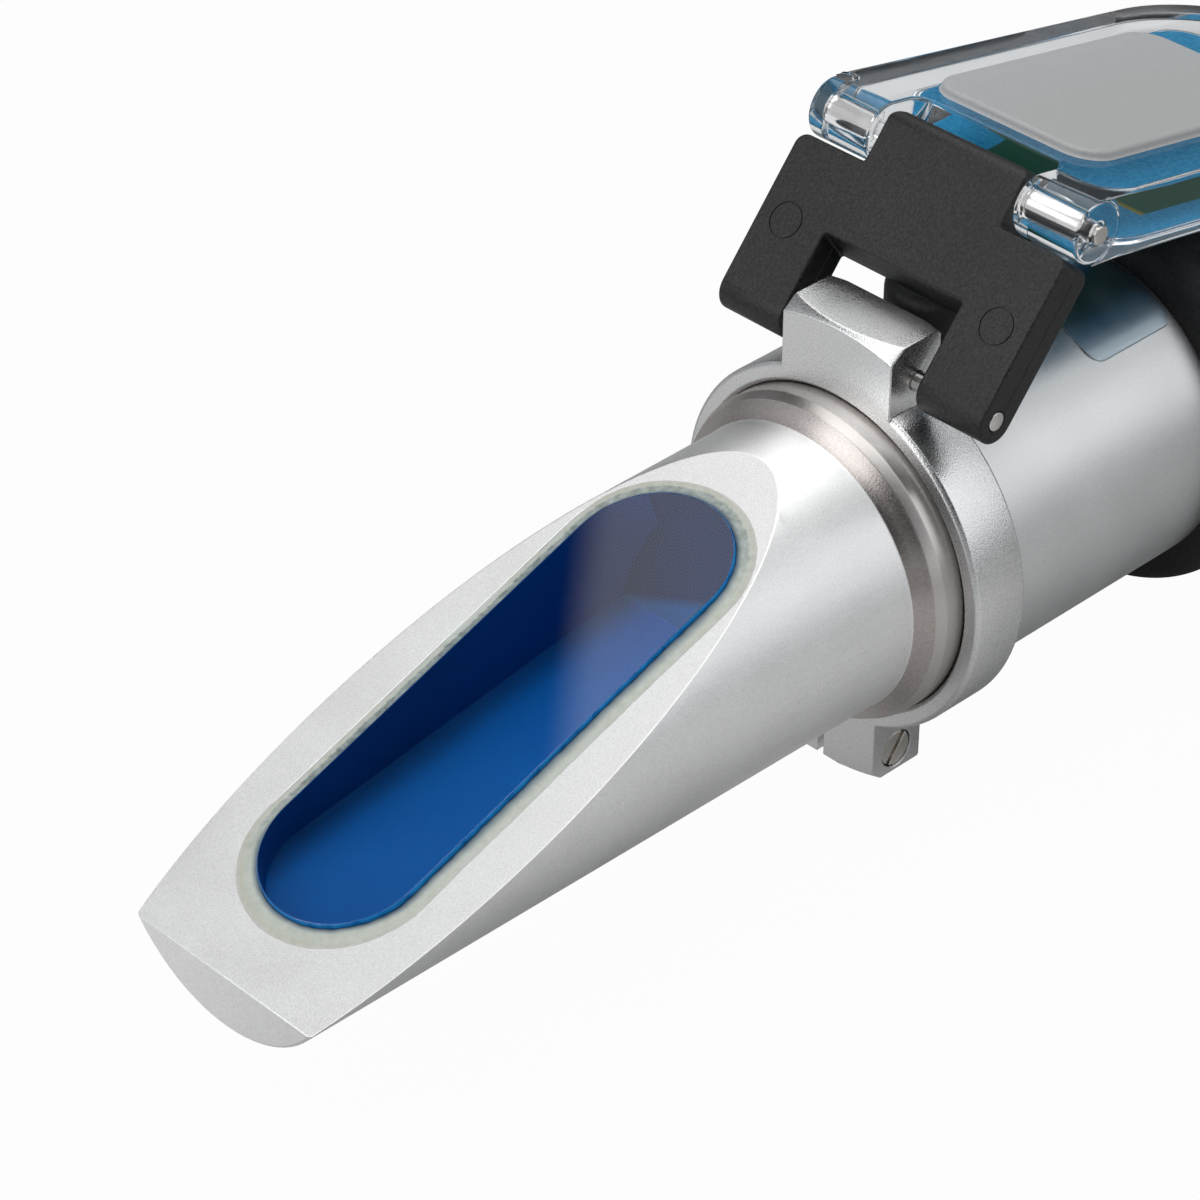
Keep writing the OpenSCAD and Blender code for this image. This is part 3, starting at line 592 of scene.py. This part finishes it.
def applied(piece):
    """The mesh that an object's modifiers make. The object itself is removed."""
    bpy.context.view_layer.update()
    graph = bpy.context.evaluated_depsgraph_get()
    mesh = bpy.data.meshes.new_from_object(piece.evaluated_get(graph), preserve_all_data_layers=True, depsgraph=graph)
    bpy.data.objects.remove(piece)
    return mesh


def is_steep(edge, angle):
    return len(edge.link_faces) == 2 and edge.calc_face_angle() > math.radians(angle)


def welded(node):
    """A copy of a solid's mesh with its triangles joined into whole faces."""
    mesh = frame["nodes"][node].data.copy()
    with edited(mesh) as work:
        bmesh.ops.remove_doubles(work, verts=work.verts, dist=same_place)
        bmesh.ops.dissolve_limit(work, angle_limit=math.radians(0.5), verts=work.verts, edges=work.edges)
    if mesh.has_custom_normals:
        mesh.attributes.remove(mesh.attributes["custom_normal"])
    return mesh


def softened(node, width, segments=3, angle=30.0, share=None):
    """A solid with its sharp edges rounded. share(middle) says how much of the width an edge gets."""
    mesh = welded(node)
    with edited(mesh) as work:
        weight = work.edges.layers.float.new("bevel_weight_edge")
        for edge in work.edges:
            if is_steep(edge, angle):
                edge[weight] = share((edge.verts[0].co + edge.verts[1].co) / 2) if share else 1.0
    mesh.shade_smooth()
    piece = bpy.data.objects.new(node + "_work", mesh)
    scene.collection.objects.link(piece)
    bevel = piece.modifiers.new("round", "BEVEL")
    bevel.limit_method = "WEIGHT"
    bevel.width = width
    bevel.segments = segments
    bevel.use_clamp_overlap = False
    bevel.miter_outer = "MITER_ARC"
    result = applied(piece)
    low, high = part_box(node)
    with edited(result) as work:
        for vertex in work.verts:
            vertex.co = Vector([min(max(v, a), b) for v, a, b in zip(vertex.co, low, high)])
        for edge in work.edges:
            beside_flat = any(len(f.verts) > 8 and f.calc_area() > large_face for f in edge.link_faces)
            edge.smooth = not (beside_flat or is_steep(edge, angle))
    print(node, "softened by", round(width / mm, 2), "mm:", len(result.polygons), "faces")
    return result


def dress(node, width, *finishes, **how):
    """Puts a softened copy of a solid in its place."""
    return put(node + "_skin", softened(node, width, **how), node, *finishes)


# %% [markdown]
# ## Prism head
#
# The head is turned from aluminium, cut off at a slant, and blasted. Its edges are only just
# broken, by less than a tenth of a millimetre. The bevel and the band at its neck were cut after
# the blasting, so the band takes the turned finish and the bevel a duller, warmer one: those
# faces are picked by how far back they lie. The sample face is picked by the way it looks.

# %% Prism head
bevel_from, band_from, band_to = -3.45 * mm, -2.35 * mm, 1.5 * mm
face_slope = math.radians(-19.6)
face_drop = 6.75 * mm
tip = Vector((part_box("prism_head")[0].x, 0, axis_z - face_drop))
on_face = leaning(tip, face_slope)
to_face = on_face.inverted()
up_from_face = on_face.to_3x3() @ Vector((0, 0, 1))
ring_face_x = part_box("clamp_ring")[0].x
head = dress("prism_head", 0.07 * mm, satin, turned, bevel_tint, face_satin, angle=18)
for face in head.data.polygons:
    x = face.center.x - ring_face_x
    face.material_index = 2 if bevel_from < x < band_from else 1 if band_from < x < band_to else 0
    if x < bevel_from and face.normal.dot(up_from_face) > 0.9999:
        face.material_index = 3
print("head", [round(v / mm, 1) for v in head.dimensions])

# %% [markdown]
# The window is the top of a glass wedge that fills a pocket in the head and stands half a
# millimetre proud. The blue filter is cemented to the sides and the foot of the wedge. With no
# air between them those faces can not mirror: from inside they just show the filter. So only the
# top and its eased rim are glass here, and the other faces are opaque blue. They could be left
# clear with the filter behind them, but the hair of air between would mirror like silver. The
# one filter blue is painted in lit and shaded copies: the foot, which looks straight up at the
# light, is painted brightest, the walls are painted a deep blue shade, and the strip that stands
# above the adhesive is painted lighter for the light it catches from outside. The wall at the
# ring end has painted light up to a slanting line and painted shade above it.

# %% Window glass and its filter
def cemented(name, shallow, deep, scale, rough, painted_light_behind=1.0, painted_shade_left=1.0):
    """An opaque blue with painted light towards the ring and painted shade towards the left wall."""
    material, blue = start_finish(name, Specular_IOR_Level=0.2)
    place = blue.place()
    cloud = blue.noise(place, scale, 3.0)
    tone = blue.mottled(cloud, shallow, deep)
    tone = blue.scaled(tone, blue.ramp(blue.part_of(place, "X"), -0.060, -0.040, 1.0, painted_light_behind))
    painted_shade_by_wall = blue.ramp(blue.part_of(place, "Y"), 3.2 * mm, 6.6 * mm, 1.0, painted_shade_left, soft=True)
    blue.wire(blue.scaled(tone, painted_shade_by_wall), "Base Color")
    blue.wire(blue.spread(cloud, rough - 0.06, rough + 0.06), "Roughness")
    return material


# painted light and shade: lit copies of the filter blue for the foot and the rim, a shaded copy for the walls
filter_foot_painted_lit = cemented("filter under the glass, painted lit", (0.0, 0.105, 0.40), (0.0, 0.124, 0.45), 90.0, 0.5, 1.5, 0.5)
filter_wall_painted_shade = cemented("filter beside the glass, painted shade", (0.0, 0.040, 0.18), (0.0, 0.048, 0.21), 90.0, 0.5, 1.6)
filter_rim_painted_lit = cemented("blue rim of the glass, painted lit", (0.0, 0.12, 0.40), (0.01, 0.26, 0.66), 900.0, 0.3)

# painted light below a slanting line on the ring-end wall, painted shade above it
filter_end_painted_light, wall = start_finish("filter behind the glass, painted light and shade", Specular_IOR_Level=0.2)
wall_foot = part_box("prism_glass")[0].z
place = wall.place()
painted_light_up_to = wall.calc("MULTIPLY_ADD", wall.part_of(place, "Y"), -0.62, wall_foot + 4.4 * mm)
past_line = wall.calc("SUBTRACT", wall.part_of(place, "Z"), painted_light_up_to)
painted_lit_share = wall.ramp(past_line, -1.6 * mm, 0.3 * mm, 1.0, 0.0, soft=True)
wall.wire(wall.mix(painted_lit_share, (0.0, 0.035, 0.16), (0.0, 0.20, 0.52)), "Base Color")
wall.wire(wall.spread(wall.noise(place, 90.0), 0.45, 0.55), "Roughness")

glue_height = 0.10 * mm
eased_rim = 0.01 * mm
window = softened("prism_glass", 0.14 * mm)
with edited(window) as work:
    everything = list(work.verts) + list(work.edges) + list(work.faces)
    bmesh.ops.bisect_plane(work, geom=everything, dist=1e-7, plane_no=up_from_face,
                           plane_co=on_face @ Vector((0, 0, glue_height)))
put("prism_glass_window", window, "prism_glass", prism_clear, filter_foot_painted_lit, filter_wall_painted_shade, filter_rim_painted_lit, filter_end_painted_light)
top_height = max((to_face @ v.co).z for v in window.vertices)
for face in window.polygons:
    height = (to_face @ face.center).z
    if height > top_height - eased_rim:
        face.material_index = 0
    elif height > glue_height:
        face.material_index = 3
    elif face.normal.z < -0.7:
        face.material_index = 1
    else:
        face.material_index = 4 if face.normal.x > 0.7 else 2
counts = [sum(1 for f in window.polygons if f.material_index == i) for i in range(5)]
print("window faces: glass, foot, walls, rim, end", counts)
print("highest", round(top_height / mm, 2), "mm above the face")

# %% [markdown]
# ## Adhesive around the window
#
# The glass is bedded in a bead of adhesive that was wiped by hand, so its edge wanders and its
# top is lumpy. A curve with a bevel could make an even bead. Here a closed section is carried
# round the outline of the window point by point, and its width and height change with a sum of
# a few sine waves, which repeats exactly after one turn and so leaves no seam.

# %% Adhesive bead
def round_end(middle, angle, radius):
    outward = Vector((math.cos(angle), math.sin(angle)))
    return Vector((middle, 0)) + radius * outward, outward


def outline_point(share, straight, radius):
    """Point and outward direction at a share of the way round an oblong with round ends."""
    run = share * (4 * straight + 2 * math.pi * radius)
    if run < 2 * straight:
        return Vector((straight - run, radius)), Vector((0, 1))
    run -= 2 * straight
    if run < math.pi * radius:
        return round_end(-straight, math.pi / 2 + run / radius, radius)
    run -= math.pi * radius
    if run < 2 * straight:
        return Vector((-straight + run, -radius)), Vector((0, -1))
    return round_end(straight, -math.pi / 2 + (run - 2 * straight) / radius, radius)


def waves(share, *waves_to_add):
    """A sum of waves, each given as how many go round, how high, and where it starts."""
    return sum(size * math.sin(2 * math.pi * (count * share + phase)) for count, size, phase in waves_to_add)


def eased(share, left, tip_end, right, ring_end):
    """A value that changes smoothly between the two long sides and the two ends."""
    stops = [(0.0, left), (0.27, left), (0.36, tip_end), (0.44, tip_end), (0.53, right),
             (0.77, right), (0.85, ring_end), (0.95, ring_end), (1.0, left)]
    for (a, low), (b, high) in zip(stops, stops[1:]):
        if share <= b:
            u = (share - a) / (b - a)
            return low + (high - low) * u * u * (3 - 2 * u)


steps = 900
half_straight, end_radius = 15.2 * mm, 6.62 * mm
window_middle = 27.75 * mm
buried, gap = -0.9 * mm, 1.18 * mm
bead = bpy.data.meshes.new("adhesive_bead")
with edited(bead) as work:
    uv = work.loops.layers.uv.new("round and across")
    loops = []
    for i in range(steps):
        t = i / steps
        at, out = outline_point(t, half_straight, end_radius)
        smear = waves(t, (2, 0.04, 0.58), (5, 0.03, 0.3), (11, 0.02, 0.7),
                      (31, 0.012, 0.1), (79, 0.012, 0.4), (143, 0.012, 0.2))
        lumpy = waves(t, (3, 0.02, 0.2), (17, 0.02, 0.5), (43, 0.015, 0.9), (83, 0.015, 0.3))
        wide = (eased(t, 1.22, 1.60, 1.38, 1.48) + smear) * mm
        tall = (eased(t, 0.09, 0.10, 0.09, 0.15) + lumpy) * mm
        section = (
            (0.0, buried), (gap, buried), (gap, -0.01 * mm), (wide, -0.01 * mm), (wide - 0.06 * mm, 0.012 * mm),
            (wide * 0.8, 0.03 * mm), (wide * 0.6, tall * 0.55), (wide * 0.4, tall * 0.8),
            (wide * 0.2, tall), (0.04 * mm, tall * 1.3), (0.0, tall),
        )
        ring = []
        for w, h in section:
            corner = on_face @ Vector((window_middle + at.x + out.x * w, at.y + out.y * w, h))
            ring.append((work.verts.new(corner), w / wide))
        loops.append(ring)
    for i, (a, b) in enumerate(zip(loops, loops[1:] + loops[:1])):
        for j in range(len(a)):
            k = (j + 1) % len(a)
            corners = ((i, a[j]), (i, a[k]), (i + 1, b[k]), (i + 1, b[j]))
            face = work.faces.new([vertex for _, (vertex, _) in corners])
            for loop, (step, (_, across)) in zip(face.loops, corners):
                loop[uv].uv = (step / steps, across)
    bmesh.ops.recalc_face_normals(work, faces=work.faces)
bead.shade_smooth()
put("adhesive_bead", bead, "prism_seal", adhesive)
print("bead", len(bead.polygons), "faces")

# %% [markdown]
# ## Clamp ring and screw
#
# The ring that carries the hinge is a turned part with a lug above and two ears below. Its edges
# are broken a little more than the head's, and the ring sparkles where it was blasted.

# %% Clamp ring
dress("clamp_ring", 0.09 * mm, sparkling)
dress("clamp_screw", 0.08 * mm, screw_steel)

# %% [markdown]
# ## Hinge link and pins
#
# The link is a moulding, so all its outer edges are rounded. The two circles in its face are the
# marks of the pins that pushed it out of the mould, and are already cut in the solid.

# %% Hinge link and pins
to_link = leaning(joint_at["link_pivot"], link_lean).inverted()
mark_across, mark_up, mark_radius = 10.4 * mm, 6 * mm, 1.4 * mm


def off_ejector_marks(point):
    """Nothing near the two circles that the ejector pins left in the face of the link."""
    p = to_link @ point
    from_circle = abs(math.hypot(p.z - mark_up, abs(p.y) - mark_across) - mark_radius)
    return 0.0 if p.x < -1.5 * mm and from_circle < 0.2 * mm else 1.0


dress("hinge_link", 0.2 * mm, link_plastic, share=off_ejector_marks)
dress("link_pin", 0.08 * mm, pin_steel)
dress("cover_pin", 0.10 * mm, pin_steel)

# %% [markdown]
# ## Clear cover
#
# The cover is one acrylic moulding. Its pad is ground on top and down its low sides, so the faces
# that lie above the plate take a second finish. The film is stuck into a shallow recess
# below. With no air between, the floor of the recess can not mirror and just shows the print, also
# at a slant through the edge of the plate, so it takes the finish of the film.

# %% Clear cover
to_cover = leaning(cover_pivot, cover_slope).inverted()
plate_thick, recess_deep = 4.9 * mm, 0.35 * mm
plate_top, recess_floor = plate_thick / 2, recess_deep - plate_thick / 2
cover_mesh = softened("cover_plate", 0.3 * mm, segments=4)
put("cover_plate_clear", cover_mesh, "cover_plate", acrylic, frosted, label_film)
for face in cover_mesh.polygons:
    height = (to_cover @ face.center).z
    if height > plate_top + 0.05 * mm:
        face.material_index = 1
    elif abs(height - recess_floor) < 0.02 * mm and face.area > 1 * mm * mm:
        face.material_index = 2
counts = [sum(1 for f in cover_mesh.polygons if f.material_index == i) for i in range(3)]
print("cover faces: clear, ground, printed", counts)

# %% [markdown]
# ## Cap
#
# Behind the ring a rubber cap covers the screw that sets the scale to zero.

# %% Cap
dress("calibration_cap", 0.1 * mm, black_rubber)

# %% [markdown]
# ## Rubber grip, made by a rule
#
# The sleeve is the same all the way round, and its radius follows a rule along its length: a
# round nose, a plain part, then shallow grooves at an even pitch. It could be turned from a
# drawn profile. Geometry Nodes can state the rule itself: a flat grid is rolled up, and each
# point gets its radius from its place along the axis, so one number changes all the grooves.
#
# The helpers start a tree with named inputs, end it with real faces and a finish, and run it on
# an object to get the plain mesh.

# %% Helpers for Geometry Nodes
def start_rule(name, *inputs):
    """A tree with named inputs, each given as a name, a kind and a value."""
    tree = bpy.data.node_groups.new(name, "GeometryNodeTree")
    tree.interface.new_socket("Geometry", in_out="INPUT", socket_type="NodeSocketGeometry")
    for label, kind, value in inputs:
        tree.interface.new_socket(label, in_out="INPUT", socket_type="NodeSocket" + kind).default_value = value
    tree.interface.new_socket("Geometry", in_out="OUTPUT", socket_type="NodeSocketGeometry")
    rule = Nodes(tree)
    return rule, rule.add("NodeGroupInput"), rule.calc


def end_rule(rule, geometry, material):
    solid = rule.add("GeometryNodeRealizeInstances", Geometry=geometry)[0]
    painted = rule.add("GeometryNodeSetMaterial", Geometry=solid, Material=material)[0]
    rule.add("NodeGroupOutput", _0=painted)


def grown(name, rule, start=None, **values):
    """Runs a rule on a mesh and returns the plain mesh that it makes."""
    piece = bpy.data.objects.new(name + "_work", start or bpy.data.meshes.new(name))
    scene.collection.objects.link(piece)
    modifier = piece.modifiers.new(name, "NODES")
    modifier.node_group = rule.tree
    for item in rule.tree.interface.items_tree:
        if item.item_type == "SOCKET" and item.in_out == "INPUT" and item.name in values:
            modifier[item.identifier] = values[item.name]
    mesh = applied(piece)
    print(name, "grown:", len(mesh.polygons), "faces")
    return mesh


def closed_and_outward(mesh):
    """Closes the seam of a rolled grid and turns all its faces outwards."""
    with edited(mesh) as work:
        bmesh.ops.remove_doubles(work, verts=work.verts, dist=1e-6)
        ends = [e for e in work.edges if e.is_boundary]
        if ends:
            bmesh.ops.bridge_loops(work, edges=ends)
        bmesh.ops.recalc_face_normals(work, faces=work.faces)
        print(mesh.name, "open edges", sum(1 for e in work.edges if not e.is_manifold))
    mesh.shade_smooth()
    mesh.set_sharp_from_angle(angle=math.radians(40))


# %% Grip sleeve
low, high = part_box("grip_sleeve")
outer_part, narrowness = 0.93, 3.4
rule, given, calc = start_rule(
    "grip rule",
    ("Front", "Float", low.x), ("Length", "Float", high.x - low.x), ("Radius", "Float", high.z - axis_z),
    ("Bore", "Float", 13.4 * mm), ("Nose", "Float", 2.2 * mm), ("First groove", "Float", 10.2 * mm),
    ("Pitch", "Float", 2.9 * mm), ("Grooves", "Int", 13), ("Depth", "Float", 0.55 * mm),
    ("Axis height", "Float", axis_z))


# calc always belongs to the rule that was started last
def times(first, second):
    return calc("MULTIPLY", first, second)


def minus(first, second):
    return calc("SUBTRACT", first, second)


def squared(value):
    return times(value, value)


def one_or_other(choice, first, second):
    """The first value where choice is 1, the second where it is 0."""
    return calc("ADD", times(choice, first), times(minus(1.0, choice), second))


grid = rule.add("GeometryNodeMeshGrid", Size_X=1.0, Size_Y=2 * math.pi, Vertices_X=420, Vertices_Y=161)[0]
spot = rule.add("SeparateXYZ", _0=rule.add("GeometryNodeInputPosition")[0])
share = calc("ADD", spot["X"], 0.5)
is_outer = calc("LESS_THAN", share, outer_part)
way_out = times(calc("DIVIDE", share, outer_part), given["Length"])
way_back = times(calc("DIVIDE", minus(1.0, share), 1 - outer_part), given["Length"])
t = calc("MINIMUM", one_or_other(is_outer, way_out, way_back), given["Length"])
short_of_nose = calc("MAXIMUM", minus(given["Nose"], t), 0.0)
nose_height = calc("SQRT", calc("MAXIMUM", minus(squared(given["Nose"]), squared(short_of_nose)), 0.0))
nose_drop = minus(given["Nose"], nose_height)
turn_count = calc("DIVIDE", minus(t, given["First groove"]), given["Pitch"])
nearest = calc("MINIMUM", calc("MAXIMUM", calc("ROUND", turn_count), 0.0), minus(given["Grooves"], 1.0))
off = times(calc("ABSOLUTE", minus(turn_count, nearest)), narrowness)
dip = calc("MAXIMUM", minus(1.0, squared(off)), 0.0)
outer_r = minus(minus(given["Radius"], nose_drop), times(given["Depth"], dip))
r = one_or_other(is_outer, outer_r, given["Bore"])
rolled_to = rule.add(
    "CombineXYZ", _0=calc("ADD", given["Front"], t), _1=times(r, calc("SINE", spot["Y"])),
    _2=calc("ADD", given["Axis height"], times(r, calc("COSINE", spot["Y"]))))[0]
rolled = rule.add("GeometryNodeSetPosition", Geometry=grid, Position=rolled_to)[0]
end_rule(rule, rule.add("GeometryNodeMergeByDistance", Geometry=rolled, Distance=1e-6)[0], black_rubber)
grip_mesh = grown("grip_sleeve_rule", rule, Grooves=13)
closed_and_outward(grip_mesh)
put("grip_sleeve_rubber", grip_mesh, "grip_sleeve", black_rubber)

# %% [markdown]
# ## Eyepiece
#
# The focus ring is turned first and then gets flutes for the fingers. The flutes are a pattern
# that repeats round the axis, so a second rule moves the points of the plain ring inwards where
# a cosine of their angle is high. The eyecup is soft rubber: all its edges are well rounded.

# %% Focus ring
def lathe(name, corners, start_x, radius, bites, turns):
    """A closed ring with rounded corners, turned from [x, radius] points in millimetres."""
    profile = rounded_profile([(start_x + x * mm, r * mm) for x, r in corners], radius, bites)
    mesh = bpy.data.meshes.new(name)
    with edited(mesh) as work:
        rings = []
        for i in range(turns):
            a = 2 * math.pi * i / turns
            rings.append([work.verts.new((x, r * math.sin(a), axis_z + r * math.cos(a))) for x, r in profile])
        for a, b in zip(rings, rings[1:] + rings[:1]):
            for j in range(len(profile)):
                k = (j + 1) % len(profile)
                work.faces.new((a[j], a[k], b[k], b[j]))
        bmesh.ops.recalc_face_normals(work, faces=work.faces)
    return mesh


def rounded_profile(corners, radius, bites):
    """Replaces each corner of a closed [x, radius] profile with a short arc."""
    points = []
    for i, corner in enumerate(corners):
        here = Vector(corner)
        back, on = Vector(corners[i - 1]) - here, Vector(corners[(i + 1) % len(corners)]) - here
        cut = min(radius, back.length * 0.45, on.length * 0.45)
        a, b = here + back.normalized() * cut, here + on.normalized() * cut
        for s in range(bites + 1):
            u = s / bites
            points.append(tuple((1 - u) ** 2 * a + 2 * u * (1 - u) * here + u ** 2 * b))
    return points


focus_corners = (
    (0.0, 11.04), (0.0, 15.4), (12.0, 15.4), (12.0, 12.5), (18.0, 12.5), (18.0, 7.6), (15.9, 7.6), (15.9, 11.04),
)
plain_ring = lathe("focus_plain", focus_corners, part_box("focus_ring")[0].x, 0.45 * mm, 4, 384)
rule, given, calc = start_rule(
    "finger flutes",
    ("Flutes", "Float", 32.0), ("Depth", "Float", 0.45 * mm), ("Fluted from", "Float", 14.6 * mm),
    ("Axis height", "Float", axis_z))
spot = rule.add("SeparateXYZ", _0=rule.add("GeometryNodeInputPosition")[0])
across, up = spot["Y"], minus(spot["Z"], given["Axis height"])
r = calc("SQRT", calc("ADD", squared(across), squared(up)))
wave = calc("COSINE", times(calc("ARCTAN2", across, up), given["Flutes"]))
dip = calc("POWER", calc("MAXIMUM", wave, 0.0), 1.6)
is_skin = calc("GREATER_THAN", r, given["Fluted from"])
outward = times(times(dip, is_skin), times(given["Depth"], -1.0))
shift = rule.add("CombineXYZ", _0=0.0, _1=times(outward, calc("DIVIDE", across, r)),
                 _2=times(outward, calc("DIVIDE", up, r)))[0]
end_rule(rule, rule.add("GeometryNodeSetPosition", Geometry=given["Geometry"], Offset=shift)[0], black_anodised)
focus_mesh = grown("focus_ring_fluted", rule, plain_ring, Flutes=32.0)
closed_and_outward(focus_mesh)
put("focus_ring_fluted", focus_mesh, "focus_ring", black_anodised)

# %% Eyecup
cup_corners = (
    (-12.65, 12.55), (-12.65, 14.7), (-9.85, 15.1), (-6.6, 16.8), (-4.0, 19.2), (0.0, 19.2),
    (0.0, 17.8), (-4.0, 15.8), (-6.75, 13.1), (-6.75, 12.55),
)
cup_mesh = lathe("eyecup_rubber", cup_corners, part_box("eyecup")[1].x, 0.7 * mm, 6, 160)
cup_mesh.shade_smooth()
put("eyecup_rubber", cup_mesh, "eyecup", black_rubber)
dress("eyepiece_barrel", 0.12 * mm, black_anodised)

# %% [markdown]
# ## Scale disc
#
# Inside the tube a glass disc carries the scale that the eye sees. Its marks repeat, so a rule
# puts a thin bar at each point of a line and makes every fifth one longer. The bars are only a
# few faces each.

# %% Scale marks
spacing, marks_below_axis = 0.32 * mm, 16
first_mark = (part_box("reticle_disc")[0].x - 0.02 * mm, 0.0, axis_z - marks_below_axis * spacing)
rule, given, calc = start_rule(
    "scale marks",
    ("Marks", "Int", 2 * marks_below_axis + 1), ("Spacing", "Float", spacing),
    ("Mark length", "Float", 1.6 * mm), ("Place", "Vector", (0, 0, 0)))
step = rule.add("CombineXYZ", _0=0.0, _1=0.0, _2=given["Spacing"])[0]
line = rule.add("GeometryNodeMeshLine", Count=given["Marks"], Start_Location=given["Place"], Offset=step)[0]
bar = rule.add("GeometryNodeMeshCube", Size=(0.01 * mm, 1.0, 0.05 * mm))[0]
is_fifth = calc("LESS_THAN", calc("MODULO", rule.add("GeometryNodeInputIndex")[0], 5.0), 0.5)
length = times(given["Mark length"], calc("ADD", 1.0, times(is_fifth, 0.8)))
size = rule.add("CombineXYZ", _0=1.0, _1=length, _2=1.0)[0]
bars = rule.add("GeometryNodeInstanceOnPoints", Points=line, Instance=bar, Scale=size)[0]
end_rule(rule, bars, black_anodised)
marks_piece = bpy.data.objects.new("scale_marks", grown("scale_marks", rule, Place=first_mark))
scene.collection.objects.link(marks_piece)
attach(marks_piece, "main_body")
print("scale marks", [round(v / mm, 2) for v in marks_piece.dimensions])

# %% [markdown]
# ## Finishes of the solids that stay
#
# The tube and its film, the label, the filter and everything inside keep their solids. Their
# shapes are right, so each only takes the finish that its slot in the record names.

# %% Finishes of the remaining solids
finish_for_slot = {
    "satin_aluminium": barrel_satin, "turned_aluminium": turned, "optical_glass": lens_clear,
    "blue_plastic": filter_blue, "steel": screw_steel, "label_film": label_film, "clear_film": film_look,
    "brass": brass, "black_anodised": black_anodised, "bimetal": strip_metal,
}
kept = [n for n, o in frame["nodes"].items() if not o.hide_render]
for name in kept:
    finish = finish_for_slot[finish_of_node[name]]
    slots = frame["nodes"][name].data.materials
    for i in range(len(slots)):
        slots[i] = finish
    if len(slots) == 0:
        slots.append(finish)
print(len(kept), "solids keep their shape:", ", ".join(kept))
